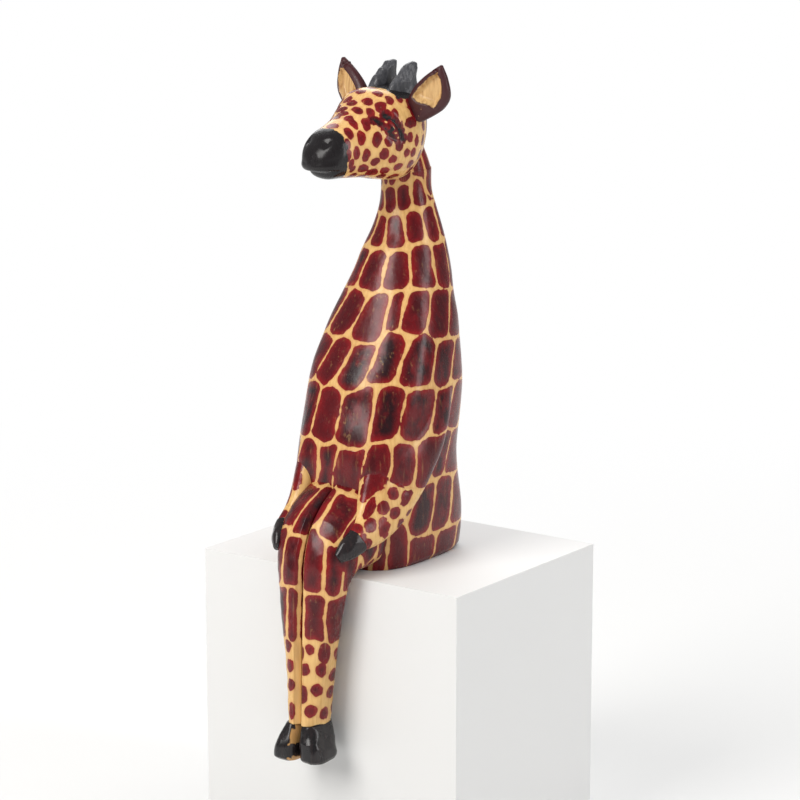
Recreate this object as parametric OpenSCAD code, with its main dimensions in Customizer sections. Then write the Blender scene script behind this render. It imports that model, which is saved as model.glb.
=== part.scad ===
// Carved and painted wooden giraffe that sits on a shelf edge with its hind legs hanging down.
// Frame: millimetres, +Z up, the giraffe faces -Y and its left side is +X.
// The origin is at seat height, on the figure's middle plane; the shelf's front edge is at -shelf_in.

/* [Trunk: body and neck] */
// Height of the trunk from the seat to the top of the neck
trunk_h = 142; // [110:1:175]
// Widest width of the trunk, across the shoulders
trunk_w = 50.5; // [40:0.5:64]
// Depth of the trunk from belly to back
trunk_d = 57; // [46:0.5:70]
// Diameter of the neck just under the head
neck_d = 18.4; // [14:0.2:23]
// Distance of the neck's centre behind the origin
neck_y = 19; // [14:0.5:25]
// Distance of the trunk's flat front face, which the hind legs are glued to, ahead of the origin
lap_y = 20; // [16:0.5:26]
// Depth of the shelf edge's place under the figure, ahead of the origin
shelf_in = 30; // [24:0.5:36]

/* [Head] */
// Length of the head from nape to nose
head_l = 53.5; // [46:0.5:70]
// Width of the head across the cheeks
head_w = 30; // [24:0.5:37]
// Height of the head from jaw to crown
head_h = 34; // [28:0.5:42]
// Height of the jaw's line below the top of the neck
jaw_drop = 3.4; // [2:0.1:6]
// Turn of the head towards the figure's right, in degrees
head_turn = 12; // [0:1:25]

/* [Ears and horns] */
// Length of an ear from its root to its tip
ear_l = 20.5; // [18:0.5:28]
// Width of an ear
ear_w = 13.6; // [11:0.2:17]
// Depth of the hollow carved into an ear
ear_hollow = 2.6; // [1:0.1:3.4]
// Height of the ear's root above the top of the neck
ear_z = 22; // [18:0.5:27]
// How much further forward the right ear stands than the left
right_ear_forward = 4; // [0:0.5:6]
// How far the right ear is set lower than the left one
right_ear_drop = 0.4; // [0:0.1:3.5]
// Height of a horn above the crown
horn_h = 8.5; // [6:0.5:11]
// Length of a horn's foot along the crown
horn_l = 13.5; // [10:0.5:16]
// Thickness of a horn
horn_t = 5.4; // [4:0.2:7]
// Spacing of the two horns, centre to centre
horn_gap = 11; // [9:0.5:14]

/* [Forelegs] */
// Width of the upper arm where it lies on the flank
arm_w = 25; // [20:0.5:31]
// How far the elbow stands out from the middle plane
elbow_x = 25; // [21:0.5:30]
// Height of the elbow joint's middle above the seat
elbow_z = 35; // [29:0.5:42]
// Length of the black hoof at a foreleg's end
fore_hoof_l = 11; // [8:0.5:14]

/* [Hind legs] */
// How far the shins hang below the seat, to the hoof's sole
leg_drop = 66.5; // [54:0.5:80]
// How far the knees reach ahead of the trunk's front face
knee_reach = 26; // [21:0.5:32]
// Height of the lap above the seat, at the trunk's front face
lap_h = 35; // [28:0.5:42]
// Width of one thigh where it leaves the trunk
thigh_w = 19; // [15:0.5:23]
// Width of one ankle
ankle_w = 7; // [5.5:0.1:9]
// Depth of a shin from front to back
shin_d = 15; // [12:0.5:18]
// Width of the saw cut between the hind legs, at the foot of its groove
slit_w = 0.5; // [0.3:0.05:0.9]
// Height of a hind hoof
hoof_h = 13.4; // [10:0.2:17]
// Width of a hind hoof at its sole
hoof_w = 10; // [8:0.2:12.4]

/* [Joints] */
// Diameter of the dowel in the neck
neck_peg_d = 6; // [4:0.5:8]
// Diameter of the dowels that hold the legs
leg_peg_d = 5; // [3:0.5:6]
// Diameter of the dowels that hold the forelegs
arm_peg_d = 3; // [2:0.5:4]
// Diameter of the pegs that hold the ears and horns
small_peg_d = 2; // [1.5:0.1:2.5]
// Diameter of the pegs that hold the hooves
hoof_peg_d = 1.8; // [1.2:0.1:2.2]
// Glue gap all round each joint
glue_gap = 0.1; // [0.05:0.05:0.3]

/* [Hidden] */

LEFT = 1;
RIGHT = -1;
SIDES = [LEFT, RIGHT];
far = 200;                         // longer than any piece, for cutting planes
maroon = [0.42, 0.08, 0.10];
ochre = [0.86, 0.66, 0.36];
black = [0.05, 0.05, 0.06];
dowel_wood = [0.80, 0.68, 0.48];

// ---- Smooth tables -------------------------------------------------------------------------------
// A table's rows start with a rising key. between() reads column c at key x, on a smooth curve
// through the rows whose slope at a row is that of the line through its two neighbours.

function slope(rows, i, c) =
    let (a = max(i - 1, 0), b = min(i + 1, len(rows) - 1))
    (rows[b][c] - rows[a][c]) / (rows[b][0] - rows[a][0]);
function row_below(rows, x) =
    let (under = [for (i = [0:len(rows) - 2]) if (rows[i][0] <= x) i])
    len(under) == 0 ? 0 : under[len(under) - 1];
function between(rows, x, c) =
    let (i = row_below(rows, x), w = rows[i + 1][0] - rows[i][0], t = (x - rows[i][0]) / w)
    (2 * t ^ 3 - 3 * t ^ 2 + 1) * rows[i][c] + (t ^ 3 - 2 * t ^ 2 + t) * w * slope(rows, i, c)
    + (3 * t ^ 2 - 2 * t ^ 3) * rows[i + 1][c] + (t ^ 3 - t ^ 2) * w * slope(rows, i + 1, c);
function key_at(rows, share) = rows[0][0] + share * (rows[len(rows) - 1][0] - rows[0][0]);

// A rounded box curve: an ellipse whose corners fill out as the power n grows past 2.
function bulge(v, n) = sign(v) * abs(v) ^ (2 / n);
function unit(v) = v / norm(v);

// Closes a stack of rings, each a list of points that run anticlockwise seen from the far end.
module loft(rings) {
    m = len(rings[0]);
    last = len(rings) - 1;
    points = [for (ring = rings) each ring];
    sides = [for (i = [0:last - 1], j = [0:m - 1])
        let (k = (j + 1) % m, a = i * m + j, b = i * m + k, c = b + m, d = a + m)
        each [[a, d, c], [a, c, b]]];
    first_end = [for (j = [0:m - 1]) j];
    last_end = [for (j = [0:m - 1]) last * m + m - 1 - j];
    polyhedron(points = points, faces = concat([first_end], sides, [last_end]));
}

// ---- Trunk ---------------------------------------------------------------------------------------
// Rows: height, centre's place in y, half width, reach to the front, reach to the back, corner power.
half_w = trunk_w / 2;
half_d = trunk_d / 2;
half_neck = neck_d / 2;
TRUNK = [
    [0,               0.19 * half_d, 0.77 * half_w, 0.91 * half_d, 1.01 * half_d, 3.2],
    [0.016 * trunk_h, 0.20 * half_d, 0.83 * half_w, 0.93 * half_d, 1.04 * half_d, 3.2],
    [0.11 * trunk_h, 0.21 * half_d, 0.87 * half_w, 0.94 * half_d, 1.05 * half_d, 3.1],
    [0.22 * trunk_h, 0.20 * half_d, 0.87 * half_w, 0.94 * half_d, 0.99 * half_d, 2.8],
    [0.28 * trunk_h, 0.19 * half_d, 0.90 * half_w, 0.95 * half_d, 0.96 * half_d, 2.7],
    [0.37 * trunk_h, 0.19 * half_d, 0.97 * half_w, 0.98 * half_d, 0.96 * half_d, 2.7],
    [0.45 * trunk_h, 0.21 * half_d, 1.00 * half_w, 0.95 * half_d, 0.98 * half_d, 2.6],
    [0.51 * trunk_h, 0.22 * half_d, 0.99 * half_w, 0.87 * half_d, 0.99 * half_d, 2.45],
    [0.565 * trunk_h, 0.28 * half_d, 0.95 * half_w, 0.77 * half_d, 0.93 * half_d, 2.35],
    [0.62 * trunk_h, 0.35 * half_d, 0.89 * half_w, 0.68 * half_d, 0.87 * half_d, 2.3],
    [0.68 * trunk_h, 0.68 * neck_y, 1.00 * half_neck + 0.42 * half_w, 0.63 * half_d, 0.76 * half_d, 2.2],
    [0.735 * trunk_h, 0.87 * neck_y, 1.00 * half_neck + 0.33 * half_w, 1.94 * half_neck, 2.00 * half_neck, 2.1],
    [0.79 * trunk_h, 0.96 * neck_y, 1.70 * half_neck, 1.72 * half_neck, 1.72 * half_neck, 2],
    [0.845 * trunk_h, 1.04 * neck_y, 1.40 * half_neck, 1.40 * half_neck, 1.40 * half_neck, 2],
    [0.90 * trunk_h, 1.05 * neck_y, 1.14 * half_neck, 1.14 * half_neck, 1.14 * half_neck, 2],
    [0.945 * trunk_h, 1.01 * neck_y, 1.01 * half_neck, 1.01 * half_neck, 1.01 * half_neck, 2],
    [1.00 * trunk_h, 1.00 * neck_y, 1.00 * half_neck, 1.00 * half_neck, 1.00 * half_neck, 2]];
trunk_rings = 44;
trunk_sides = 40;

function trunk_ring(z, grow) = [for (k = [0:trunk_sides - 1])
    let (turn = 360 * k / trunk_sides, n = between(TRUNK, z, 5),
         reach = between(TRUNK, z, sin(turn) < 0 ? 3 : 4) + grow)
    [(between(TRUNK, z, 2) + grow) * bulge(cos(turn), n),
     between(TRUNK, z, 1) + reach * bulge(sin(turn), n), z]];

// Trunk from height low to height high, swollen by grow all round.
module trunk_form(low, high, rings, grow) {
    loft([for (i = [0:rings]) trunk_ring(low + (high - low) * i / rings, grow)]);
}

// ---- Limbs ---------------------------------------------------------------------------------------
// A limb's rows: key, centre x, y and z, half width, half thickness, corner power. The rings stand square
// to the path, with their thickness facing `out`.
function limb_centre(rows, x) = [for (c = [1:3]) between(rows, x, c)];
function limb_along(rows, x) =
    let (last = rows[len(rows) - 1][0], step = (last - rows[0][0]) / 60)
    unit(limb_centre(rows, min(x + step, last)) - limb_centre(rows, max(x - step, rows[0][0])));
function limb_ring(rows, x, out, sides, grow) =
    let (along = limb_along(rows, x), thick = unit(out - along * (out * along)), wide = cross(thick, along),
         n = between(rows, x, 6))
    [for (k = [0:sides - 1]) let (turn = 360 * k / sides)
        limb_centre(rows, x) + wide * (between(rows, x, 4) + grow) * bulge(cos(turn), n)
        + thick * (between(rows, x, 5) + grow) * bulge(sin(turn), n)];

// Draws its children for one side: the left side as they are, the right side mirrored.
module on_side(side) {
    if (side == LEFT) children();
    else mirror([1, 0, 0]) children();
}

// ---- Forelegs ------------------------------------------------------------------------------------
half_arm = arm_w / 2;
shoulder_z = 2.4 * elbow_z;
// The upper arm runs from inside the shoulder down to the elbow, and the forearm on to the wrist and hoof.
ARM = [
    [0, 0.52 * elbow_x, 9, shoulder_z, 0.60 * half_arm, 5.5, 2],
    [1, 0.72 * elbow_x, 3.5, 0.785 * shoulder_z, 0.98 * half_arm, 6.5, 2.1],
    [2, 0.76 * elbow_x, -3, 0.62 * shoulder_z, 1.10 * half_arm, 6.5, 2.3],
    [3, 0.75 * elbow_x, -9.8, 1.18 * elbow_z, 1.07 * half_arm, 6.2, 2.5],
    [4, 0.71 * elbow_x, -15.2, 0.92 * elbow_z, 0.99 * half_arm, 5.5, 2.5],
    [5, 0.69 * elbow_x, -20.5, 0.70 * elbow_z, 0.82 * half_arm, 4.8, 2.4],
    [6, 0.665 * elbow_x, -26.5, 0.54 * elbow_z, 0.61 * half_arm, 4.2, 2.3],
    [7, 0.65 * elbow_x, -33, 0.44 * elbow_z, 0.39 * half_arm, 3.6, 2.2],
    [8, 0.61 * elbow_x, -33 - 0.45 * fore_hoof_l, 0.44 * elbow_z - 0.26 * fore_hoof_l, 0.35 * half_arm, 3.3, 2.2],
    [9, 0.55 * elbow_x, -33 - 0.80 * fore_hoof_l, 0.44 * elbow_z - 0.5 * fore_hoof_l, 0.18 * half_arm, 1.7, 2]];
ELBOW = 3.8;                        // keys in ARM where the forearm and the hoof start
WRIST = 7;
arm_out = [0.90, -0.30, 0.25];
arm_sides = 24;

// Part of the arm between two of its keys.
module arm_form(from, to, rings, grow = 0) {
    loft([for (i = [0:rings]) limb_ring(ARM, from + (to - from) * i / rings, arm_out, arm_sides, grow)]);
}
// Lays its children's +Z along a direction.
module point_along(v) {
    rotate([0, acos(v[2] / norm(v)), atan2(v[1], v[0])]) children();
}
// The forearm lies on the flank, and its dowel runs straight in through the flank.
module foreleg_dowel(grow = 0, extra = 0) {
    at = limb_centre(ARM, 4.4);
    translate([at[0] + 0.5 * between(ARM, 4.4, 5) - foreleg_dowel_l - extra, at[1], at[2]]) rotate([0, 90, 0])
        cylinder(d = arm_peg_d + 2 * grow, h = foreleg_dowel_l + 2 * extra, $fn = 24);
}
module fore_hoof_peg(grow = 0, extra = 0) {
    translate(limb_centre(ARM, WRIST) + unit(arm_out) * 0.55 * between(ARM, WRIST, 5))
        point_along(limb_along(ARM, WRIST))
            translate([0, 0, -fore_hoof_peg_l / 2 - extra])
                cylinder(d = hoof_peg_d + 2 * grow, h = fore_hoof_peg_l + 2 * extra, $fn = 24);
}

// ---- Hind legs -----------------------------------------------------------------------------------
// Rows: key, centre's y and z, tilt of the ring from level, half depth, outer face's x, corner power behind,
// inner face's x. In front the corners are rounder. The saw cut starts ahead of the belly and dies out above
// the hooves, in a groove as wide as two inner rounds.
half_shin = shin_d / 2;
knee_y = -lap_y - knee_reach;
ankle_z = -leg_drop + hoof_h;
shut = glue_gap / 2;
LEG = [
    [0, -lap_y,                     0.515 * lap_h, 90, 0.485 * lap_h, thigh_w, 3, shut],
    [1, -lap_y - 0.26 * knee_reach, 0.45 * lap_h, 80, 0.43 * lap_h, 0.97 * thigh_w, 3, shut],
    [2, -lap_y - 0.50 * knee_reach, 0.33 * lap_h, 58, 0.355 * lap_h, 0.91 * thigh_w, 2.9, 0.40 * slit_w],
    [3, knee_y + 1.20 * half_shin,  0.14 * lap_h, 30, 1.30 * half_shin, 0.81 * thigh_w, 2.8, 0.50 * slit_w],
    [4, knee_y + 0.97 * half_shin,  0.07 * ankle_z, 8, 1.05 * half_shin, 0.71 * thigh_w, 2.7, 0.50 * slit_w],
    [5, knee_y + 0.86 * half_shin,  0.29 * ankle_z, 2, 1.01 * half_shin, 0.48 * thigh_w + 0.37 * ankle_w, 2.7,
        0.45 * slit_w],
    [6, knee_y + 0.80 * half_shin,  0.55 * ankle_z, 0, 0.98 * half_shin, 0.26 * thigh_w + 0.64 * ankle_w, 2.7,
        0.36 * slit_w],
    [7, knee_y + 0.72 * half_shin,  0.81 * ankle_z, 0, 0.95 * half_shin, 0.10 * thigh_w + 0.87 * ankle_w, 2.7,
        0.20 * slit_w],
    [8, knee_y + 0.66 * half_shin,  ankle_z, 0, 0.93 * half_shin, ankle_w, 2.7, shut]];
leg_sides = 28;
leg_inner_round = 1.8;
leg_front_power = 2.1;

function leg_ring(x, grow) =
    let (tilt = between(LEG, x, 3), middle = between(LEG, x, 7) + leg_inner_round,
         out = between(LEG, x, 5) - middle + grow)
    [for (k = [0:leg_sides - 1])
        let (turn = 360 * k / leg_sides, n = sin(turn) > 0 ? leg_front_power : between(LEG, x, 6),
             d = (between(LEG, x, 4) + grow) * bulge(sin(turn), n))
        [middle + (cos(turn) > 0 ? out : leg_inner_round) * bulge(cos(turn), n),
         between(LEG, x, 1) - d * cos(tilt), between(LEG, x, 2) + d * sin(tilt)]];
module leg_form(grow = 0) {
    loft([for (i = [0:30]) leg_ring(key_at(LEG, i / 30), grow)]);
}

// Hoof rows: depth below the ankle as a share, outward splay, forward reach, half width, half depth, power.
ankle_y = between(LEG, 8, 1);
ankle_x = (ankle_w + shut) / 2;
half_hoof = hoof_w / 2;
HOOF = [
    [0,    0.00, 0.00, 0.64 * half_hoof, 0.93 * half_shin, 2.7],
    [0.22, 0.20, 0.04, 0.80 * half_hoof, 0.99 * half_shin, 2.8],
    [0.60, 0.75, 0.10, 0.95 * half_hoof, 1.03 * half_shin, 3],
    [0.90, 1.00, 0.10, 1.00 * half_hoof, 1.00 * half_shin, 3],
    [1,    1.00, 0.08, 0.90 * half_hoof, 0.90 * half_shin, 3]];
hoof_splay = half_hoof + slit_w / 2 - ankle_x;
module hoof_form(forward) {
    loft([for (i = [0:12]) let (s = 1 - i / 12, n = between(HOOF, s, 5))
        [for (k = [0:leg_sides - 1]) let (turn = 360 * k / leg_sides)
            [ankle_x + hoof_splay * between(HOOF, s, 1) + between(HOOF, s, 3) * bulge(cos(turn), n),
             ankle_y - forward * between(HOOF, s, 2) * hoof_h + between(HOOF, s, 4) * bulge(sin(turn), n),
             ankle_z - s * hoof_h]]]);
}

// ---- Head ----------------------------------------------------------------------------------------
// Rows: distance ahead of the neck's centre, middle height above the jaw's line, half width,
// reach up, reach down, corner power.
nape = 0.13 * head_l;
jaw_z = trunk_h - jaw_drop;
half_head = head_w / 2;
half_head_h = head_h / 2;
HEAD = [
    [-nape,                0.59 * head_h, 0.10 * half_head, 0.09 * half_head_h, 0.09 * half_head_h, 2],
    [-nape + 0.02 * head_l, 0.59 * head_h, 0.30 * half_head, 0.41 * half_head_h, 0.47 * half_head_h, 2],
    [-nape + 0.075 * head_l, 0.56 * head_h, 0.52 * half_head, 0.71 * half_head_h, 0.74 * half_head_h, 2],
    [-nape + 0.16 * head_l, 0.53 * head_h, 0.77 * half_head, 0.92 * half_head_h, 0.93 * half_head_h, 2.1],
    [-nape + 0.26 * head_l, 0.50 * head_h, 0.96 * half_head, 1.00 * half_head_h, 1.00 * half_head_h, 2.2],
    [-nape + 0.39 * head_l, 0.494 * head_h, 1.03 * half_head, 0.99 * half_head_h, 0.965 * half_head_h, 2.6],
    [-nape + 0.50 * head_l, 0.476 * head_h, 1.01 * half_head, 0.98 * half_head_h, 0.88 * half_head_h, 2.7],
    [-nape + 0.59 * head_l, 0.447 * head_h, 0.88 * half_head, 0.82 * half_head_h, 0.77 * half_head_h, 2.5],
    [-nape + 0.685 * head_l, 0.405 * head_h, 0.75 * half_head, 0.65 * half_head_h, 0.67 * half_head_h, 2.3],
    [-nape + 0.78 * head_l, 0.365 * head_h, 0.67 * half_head, 0.565 * half_head_h, 0.575 * half_head_h, 2.3],
    [-nape + 0.865 * head_l, 0.335 * head_h, 0.63 * half_head, 0.50 * half_head_h, 0.51 * half_head_h, 2.4],
    [-nape + 0.93 * head_l, 0.305 * head_h, 0.52 * half_head, 0.40 * half_head_h, 0.39 * half_head_h, 2.4],
    [-nape + 0.98 * head_l, 0.285 * head_h, 0.31 * half_head, 0.23 * half_head_h, 0.22 * half_head_h, 2.2],
    [-nape + head_l,       0.28 * head_h, 0.08 * half_head, 0.06 * half_head_h, 0.06 * half_head_h, 2]];
head_rings = 36;
head_sides = 32;

function head_ring(u, grow) = [for (k = [0:head_sides - 1])
    let (turn = 360 * k / head_sides, n = between(HEAD, u, 5),
         reach = between(HEAD, u, sin(turn) > 0 ? 3 : 4) + grow)
    [(between(HEAD, u, 2) + grow) * bulge(cos(turn), n), -u,
     jaw_z + between(HEAD, u, 1) + reach * bulge(sin(turn), n)]];
// Head in its own frame, facing -Y over the neck's centre.
module head_form(grow = 0) {
    loft([for (i = [0:head_rings]) head_ring(key_at(HEAD, (1 - cos(180 * i / head_rings)) / 2), grow)]);
}
// Nape: a stub that fairs the neck's back up into the head. Rows: height above the neck's top, shift
// forward, radius.
NAPE = [
    [-0.02 * head_h, 0, 0.99 * half_neck],
    [0.10 * head_h, 0.12 * half_neck, 0.93 * half_neck],
    [0.24 * head_h, 0.32 * half_neck, 0.87 * half_neck],
    [0.42 * head_h, 0.55 * half_neck, 0.80 * half_neck]];
module nape_form() {
    loft([for (i = [0:8]) let (z = key_at(NAPE, i / 8), r = between(NAPE, z, 2))
        [for (k = [0:trunk_sides - 1]) let (turn = 360 * k / trunk_sides)
            [r * cos(turn), neck_y - between(NAPE, z, 1) + r * sin(turn), trunk_h + z]]]);
}
module place_head() {
    translate([0, neck_y, 0]) rotate([0, 0, -head_turn]) children();
}

// ---- Ears ----------------------------------------------------------------------------------------
ear_root = [0.85 * half_head, -0.11 * head_l, trunk_h + ear_z];
ear_lean = [0.54, 0.04, 0.84];      // direction from root to tip, left ear
ear_opens = [0.42, -0.88, 0];       // way the left ear's hollow looks
right_ear_opens = [0.04, -1, 0];    // and the right one's, mirrored
// Rows: share of the length, sideways drift of the middle, half width, half thickness, power.
half_ear = ear_w / 2;
EAR = [
    [-0.10, -0.02, 0.50 * half_ear, 3.2, 2],
    [0.12, -0.06, 0.84 * half_ear, 3.2, 2],
    [0.35, -0.16, 1.00 * half_ear, 2.9, 2],
    [0.60, -0.22, 0.90 * half_ear, 2.5, 2],
    [0.85, -0.14, 0.46 * half_ear, 1.8, 2],
    [1.00, -0.04, 0.08 * half_ear, 0.8, 2]];
ear_rim = 1.9;                      // width of the wood left round the hollow

// The ear leaf along +Z, its hollow looking along +Y, narrowed by `inset` all round.
module ear_leaf(from, to, inset) {
    loft([for (i = [0:14]) let (s = from + (to - from) * i / 14, w = max(between(EAR, s, 2) - inset, 0.2))
        [for (k = [0:23]) let (turn = 360 * k / 24)
            [between(EAR, s, 1) * half_ear * 1.5 + w * cos(turn),
             max(between(EAR, s, 3) - inset / 2, 0.2) * sin(turn), s * ear_l]]]);
}
module place_ear(side) {
    along = unit(ear_lean);
    opens = side == RIGHT ? right_ear_opens : ear_opens;
    look = unit(opens - along * (opens * along));
    wide = cross(look, along);
    translate(ear_root - (side == RIGHT ? [0, right_ear_forward, right_ear_drop] : [0, 0, 0]))
        multmatrix([[wide[0], look[0], along[0], 0], [wide[1], look[1], along[1], 0],
                    [wide[2], look[2], along[2], 0]])
            children();
}
module ear_form() {
    difference() {
        ear_leaf(-0.10, 1, 0);
        translate([0, between(EAR, 0.5, 3), 0]) scale([1, ear_hollow / between(EAR, 0.5, 3), 1])
            ear_leaf(0.13, 0.90, ear_rim);
    }
}
module ear_peg(side, grow = 0, extra = 0) {
    place_ear(side) translate([0, 0, -ear_peg_l / 2 - extra])
        cylinder(d = small_peg_d + 2 * grow, h = ear_peg_l + 2 * extra, $fn = 24);
}

// ---- Horns ---------------------------------------------------------------------------------------
crown_z = jaw_z + head_h;
horn_u = 0.49 * horn_l;             // the horn's foot's middle, ahead of the neck's centre
horn_sink = 5;                      // how far the horn's block runs down into the head before it is cut
// Rows: height share, middle's shift back, half length, half thickness.
HORN = [
    [0,    0.00, 0.50 * horn_l, 0.50 * horn_t],
    [0.35, 0.02, 0.49 * horn_l, 0.50 * horn_t],
    [0.62, 0.12, 0.36 * horn_l, 0.46 * horn_t],
    [0.85, 0.25, 0.24 * horn_l, 0.38 * horn_t],
    [0.96, 0.31, 0.17 * horn_l, 0.28 * horn_t],
    [1,    0.33, 0.08 * horn_l, 0.12 * horn_t]];
module horn_form() {
    loft([for (i = [0:14]) let (s = i / 14)
        [for (k = [0:19]) let (turn = 360 * k / 20)
            [horn_gap / 2 + between(HORN, s, 3) * bulge(cos(turn), 2.3),
             -horn_u + between(HORN, s, 1) * horn_l + between(HORN, s, 2) * bulge(sin(turn), 2.3),
             crown_z - horn_sink + s * (horn_h + horn_sink)]]]);
}
module horn_peg(grow = 0, extra = 0) {
    translate([horn_gap / 2, -horn_u, crown_z - horn_peg_l + 1.5 - extra])
        cylinder(d = small_peg_d + 2 * grow, h = horn_peg_l + 2 * extra, $fn = 24);
}

// ---- Dowels --------------------------------------------------------------------------------------
neck_dowel_l = 26;
leg_dowel_l = 22;
foreleg_dowel_l = 10;
hoof_peg_l = 9;
fore_hoof_peg_l = 6;
ear_peg_l = 8;
horn_peg_l = 7;
end_gap = 0.5;                      // room past a dowel's ends
leg_dowel_x = 0.5 * thigh_w;
leg_dowel_z = 0.45 * lap_h;

module neck_peg(grow = 0, extra = 0) {
    translate([0, neck_y, trunk_h - neck_dowel_l / 2 - extra])
        cylinder(d = neck_peg_d + 2 * grow, h = neck_dowel_l + 2 * extra, $fn = 32);
}
module leg_peg(grow = 0, extra = 0) {
    translate([leg_dowel_x, -lap_y + leg_dowel_l / 2 + extra, leg_dowel_z]) rotate([90, 0, 0])
        cylinder(d = leg_peg_d + 2 * grow, h = leg_dowel_l + 2 * extra, $fn = 24);
}
module hind_hoof_peg(grow = 0, extra = 0) {
    translate([ankle_x, ankle_y, ankle_z - hoof_peg_l / 2 - extra])
        cylinder(d = hoof_peg_d + 2 * grow, h = hoof_peg_l + 2 * extra, $fn = 24);
}

// ---- Pieces --------------------------------------------------------------------------------------
module body() {
    color(maroon) difference() {
        union() {
            trunk_form(0, trunk_h, trunk_rings, 0);
            for (side = SIDES) on_side(side) arm_form(0, ELBOW, 14);
        }
        // flat face for the hind legs, under the belly
        translate([-far / 2, -lap_y - glue_gap - far, -1]) cube([far, far, lap_h + 1 + glue_gap]);
        for (side = SIDES) on_side(side) {
            arm_form(ELBOW - 0.01, WRIST, 12, glue_gap);
            foreleg_dowel(glue_gap, end_gap);
            leg_peg(glue_gap, end_gap);
        }
        neck_peg(glue_gap, end_gap);
    }
}

module head() {
    color(ochre) difference() {
        union() {
            place_head() head_form();
            nape_form();
        }
        trunk_form(0.8 * trunk_h, trunk_h + glue_gap, 12, glue_gap);
        neck_peg(glue_gap, end_gap);
        place_head() for (side = SIDES) on_side(side) {
            ear_peg(side, glue_gap, end_gap);
            horn_peg(glue_gap, end_gap);
        }
    }
}

module ear(side) {
    color(ochre) place_head() on_side(side) difference() {
        place_ear(side) ear_form();
        head_form(glue_gap);
        ear_peg(side, glue_gap, end_gap);
    }
}
module left_ear() { ear(LEFT); }
module right_ear() { ear(RIGHT); }

module horn(side) {
    color(black) place_head() on_side(side) difference() {
        horn_form();
        head_form(glue_gap);
        horn_peg(glue_gap, end_gap);
    }
}
module left_horn() { horn(LEFT); }
module right_horn() { horn(RIGHT); }

module foreleg(side) {
    color(ochre) on_side(side) difference() {
        arm_form(ELBOW, WRIST, 12);
        trunk_form(0, 0.5 * trunk_h, 20, glue_gap);
        leg_form(glue_gap);
        foreleg_dowel(glue_gap, end_gap);
        fore_hoof_peg(glue_gap, end_gap);
    }
}
module left_foreleg() { foreleg(LEFT); }
module right_foreleg() { foreleg(RIGHT); }

module fore_hoof(side) {
    color(black) on_side(side) difference() {
        arm_form(WRIST + 0.02, 9, 10);
        leg_form(glue_gap);
        fore_hoof_peg(glue_gap, end_gap);
    }
}
module left_fore_hoof() { fore_hoof(LEFT); }
module right_fore_hoof() { fore_hoof(RIGHT); }

module hind_leg(side) {
    color(maroon) on_side(side) difference() {
        leg_form();
        // keeps the back of the leg clear of the shelf's front
        translate([-far / 2, -shelf_in, -far]) cube([far, far, far - glue_gap]);
        leg_peg(glue_gap, end_gap);
        hind_hoof_peg(glue_gap, end_gap);
    }
}
module left_hind_leg() { hind_leg(LEFT); }
module right_hind_leg() { hind_leg(RIGHT); }

module hind_hoof(side, forward) {
    color(black) on_side(side) difference() {
        hoof_form(forward);
        hind_hoof_peg(glue_gap, end_gap);
    }
}
module left_hind_hoof() { hind_hoof(LEFT, 0.2); }
module right_hind_hoof() { hind_hoof(RIGHT, 2.4); }

module neck_dowel() { color(dowel_wood) neck_peg(); }
module ear_pegs() { color(dowel_wood) place_head() for (side = SIDES) on_side(side) ear_peg(side); }
module horn_pegs() { color(dowel_wood) place_head() for (side = SIDES) on_side(side) horn_peg(); }
module foreleg_dowels() { color(dowel_wood) for (side = SIDES) on_side(side) foreleg_dowel(); }
module leg_dowels() { color(dowel_wood) for (side = SIDES) on_side(side) leg_peg(); }
module hoof_pegs() {
    color(dowel_wood) for (side = SIDES) on_side(side) {
        fore_hoof_peg();
        hind_hoof_peg();
    }
}

body();
head();
left_ear();
right_ear();
left_horn();
right_horn();
left_foreleg();
right_foreleg();
left_fore_hoof();
right_fore_hoof();
left_hind_leg();
right_hind_leg();
left_hind_hoof();
right_hind_hoof();
neck_dowel();
ear_pegs();
horn_pegs();
foreleg_dowels();
leg_dowels();
hoof_pegs();
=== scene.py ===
"""A carved and painted wooden giraffe that sits on a shelf edge with its hind legs hanging down.

The shapes are worked out in design millimetres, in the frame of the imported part: +Z is up, the giraffe
faces -Y and its left side is +X, and the seat rests at height zero. They become metres only when a
mesh is made. The paint is worked out as signed distances on the surfaces, which the materials read.
"""

from __future__ import annotations

import logging
import math
from dataclasses import dataclass, field, replace
from enum import Enum

import bpy
import numpy as np
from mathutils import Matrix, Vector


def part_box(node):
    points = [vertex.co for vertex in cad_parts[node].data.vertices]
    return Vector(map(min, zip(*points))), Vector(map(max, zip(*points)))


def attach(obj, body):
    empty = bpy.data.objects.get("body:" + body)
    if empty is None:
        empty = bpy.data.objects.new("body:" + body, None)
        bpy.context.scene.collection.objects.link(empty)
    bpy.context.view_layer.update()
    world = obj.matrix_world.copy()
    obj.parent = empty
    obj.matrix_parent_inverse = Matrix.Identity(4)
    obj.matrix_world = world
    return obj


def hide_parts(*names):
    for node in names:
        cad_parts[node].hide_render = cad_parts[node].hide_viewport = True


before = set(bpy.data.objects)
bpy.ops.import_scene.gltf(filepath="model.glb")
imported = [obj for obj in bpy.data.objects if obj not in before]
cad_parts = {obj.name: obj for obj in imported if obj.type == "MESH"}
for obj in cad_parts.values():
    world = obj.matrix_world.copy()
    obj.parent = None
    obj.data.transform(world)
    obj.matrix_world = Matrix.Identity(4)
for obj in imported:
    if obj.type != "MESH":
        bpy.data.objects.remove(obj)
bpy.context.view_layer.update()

LOG = logging.getLogger("giraffe")
TRUNK_HEIGHT = 142.0                                  # design height of the trunk, seat to neck top
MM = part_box("body")[1].z / TRUNK_HEIGHT               # one design millimetre in metres
Triple = tuple[float, float, float]


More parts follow.
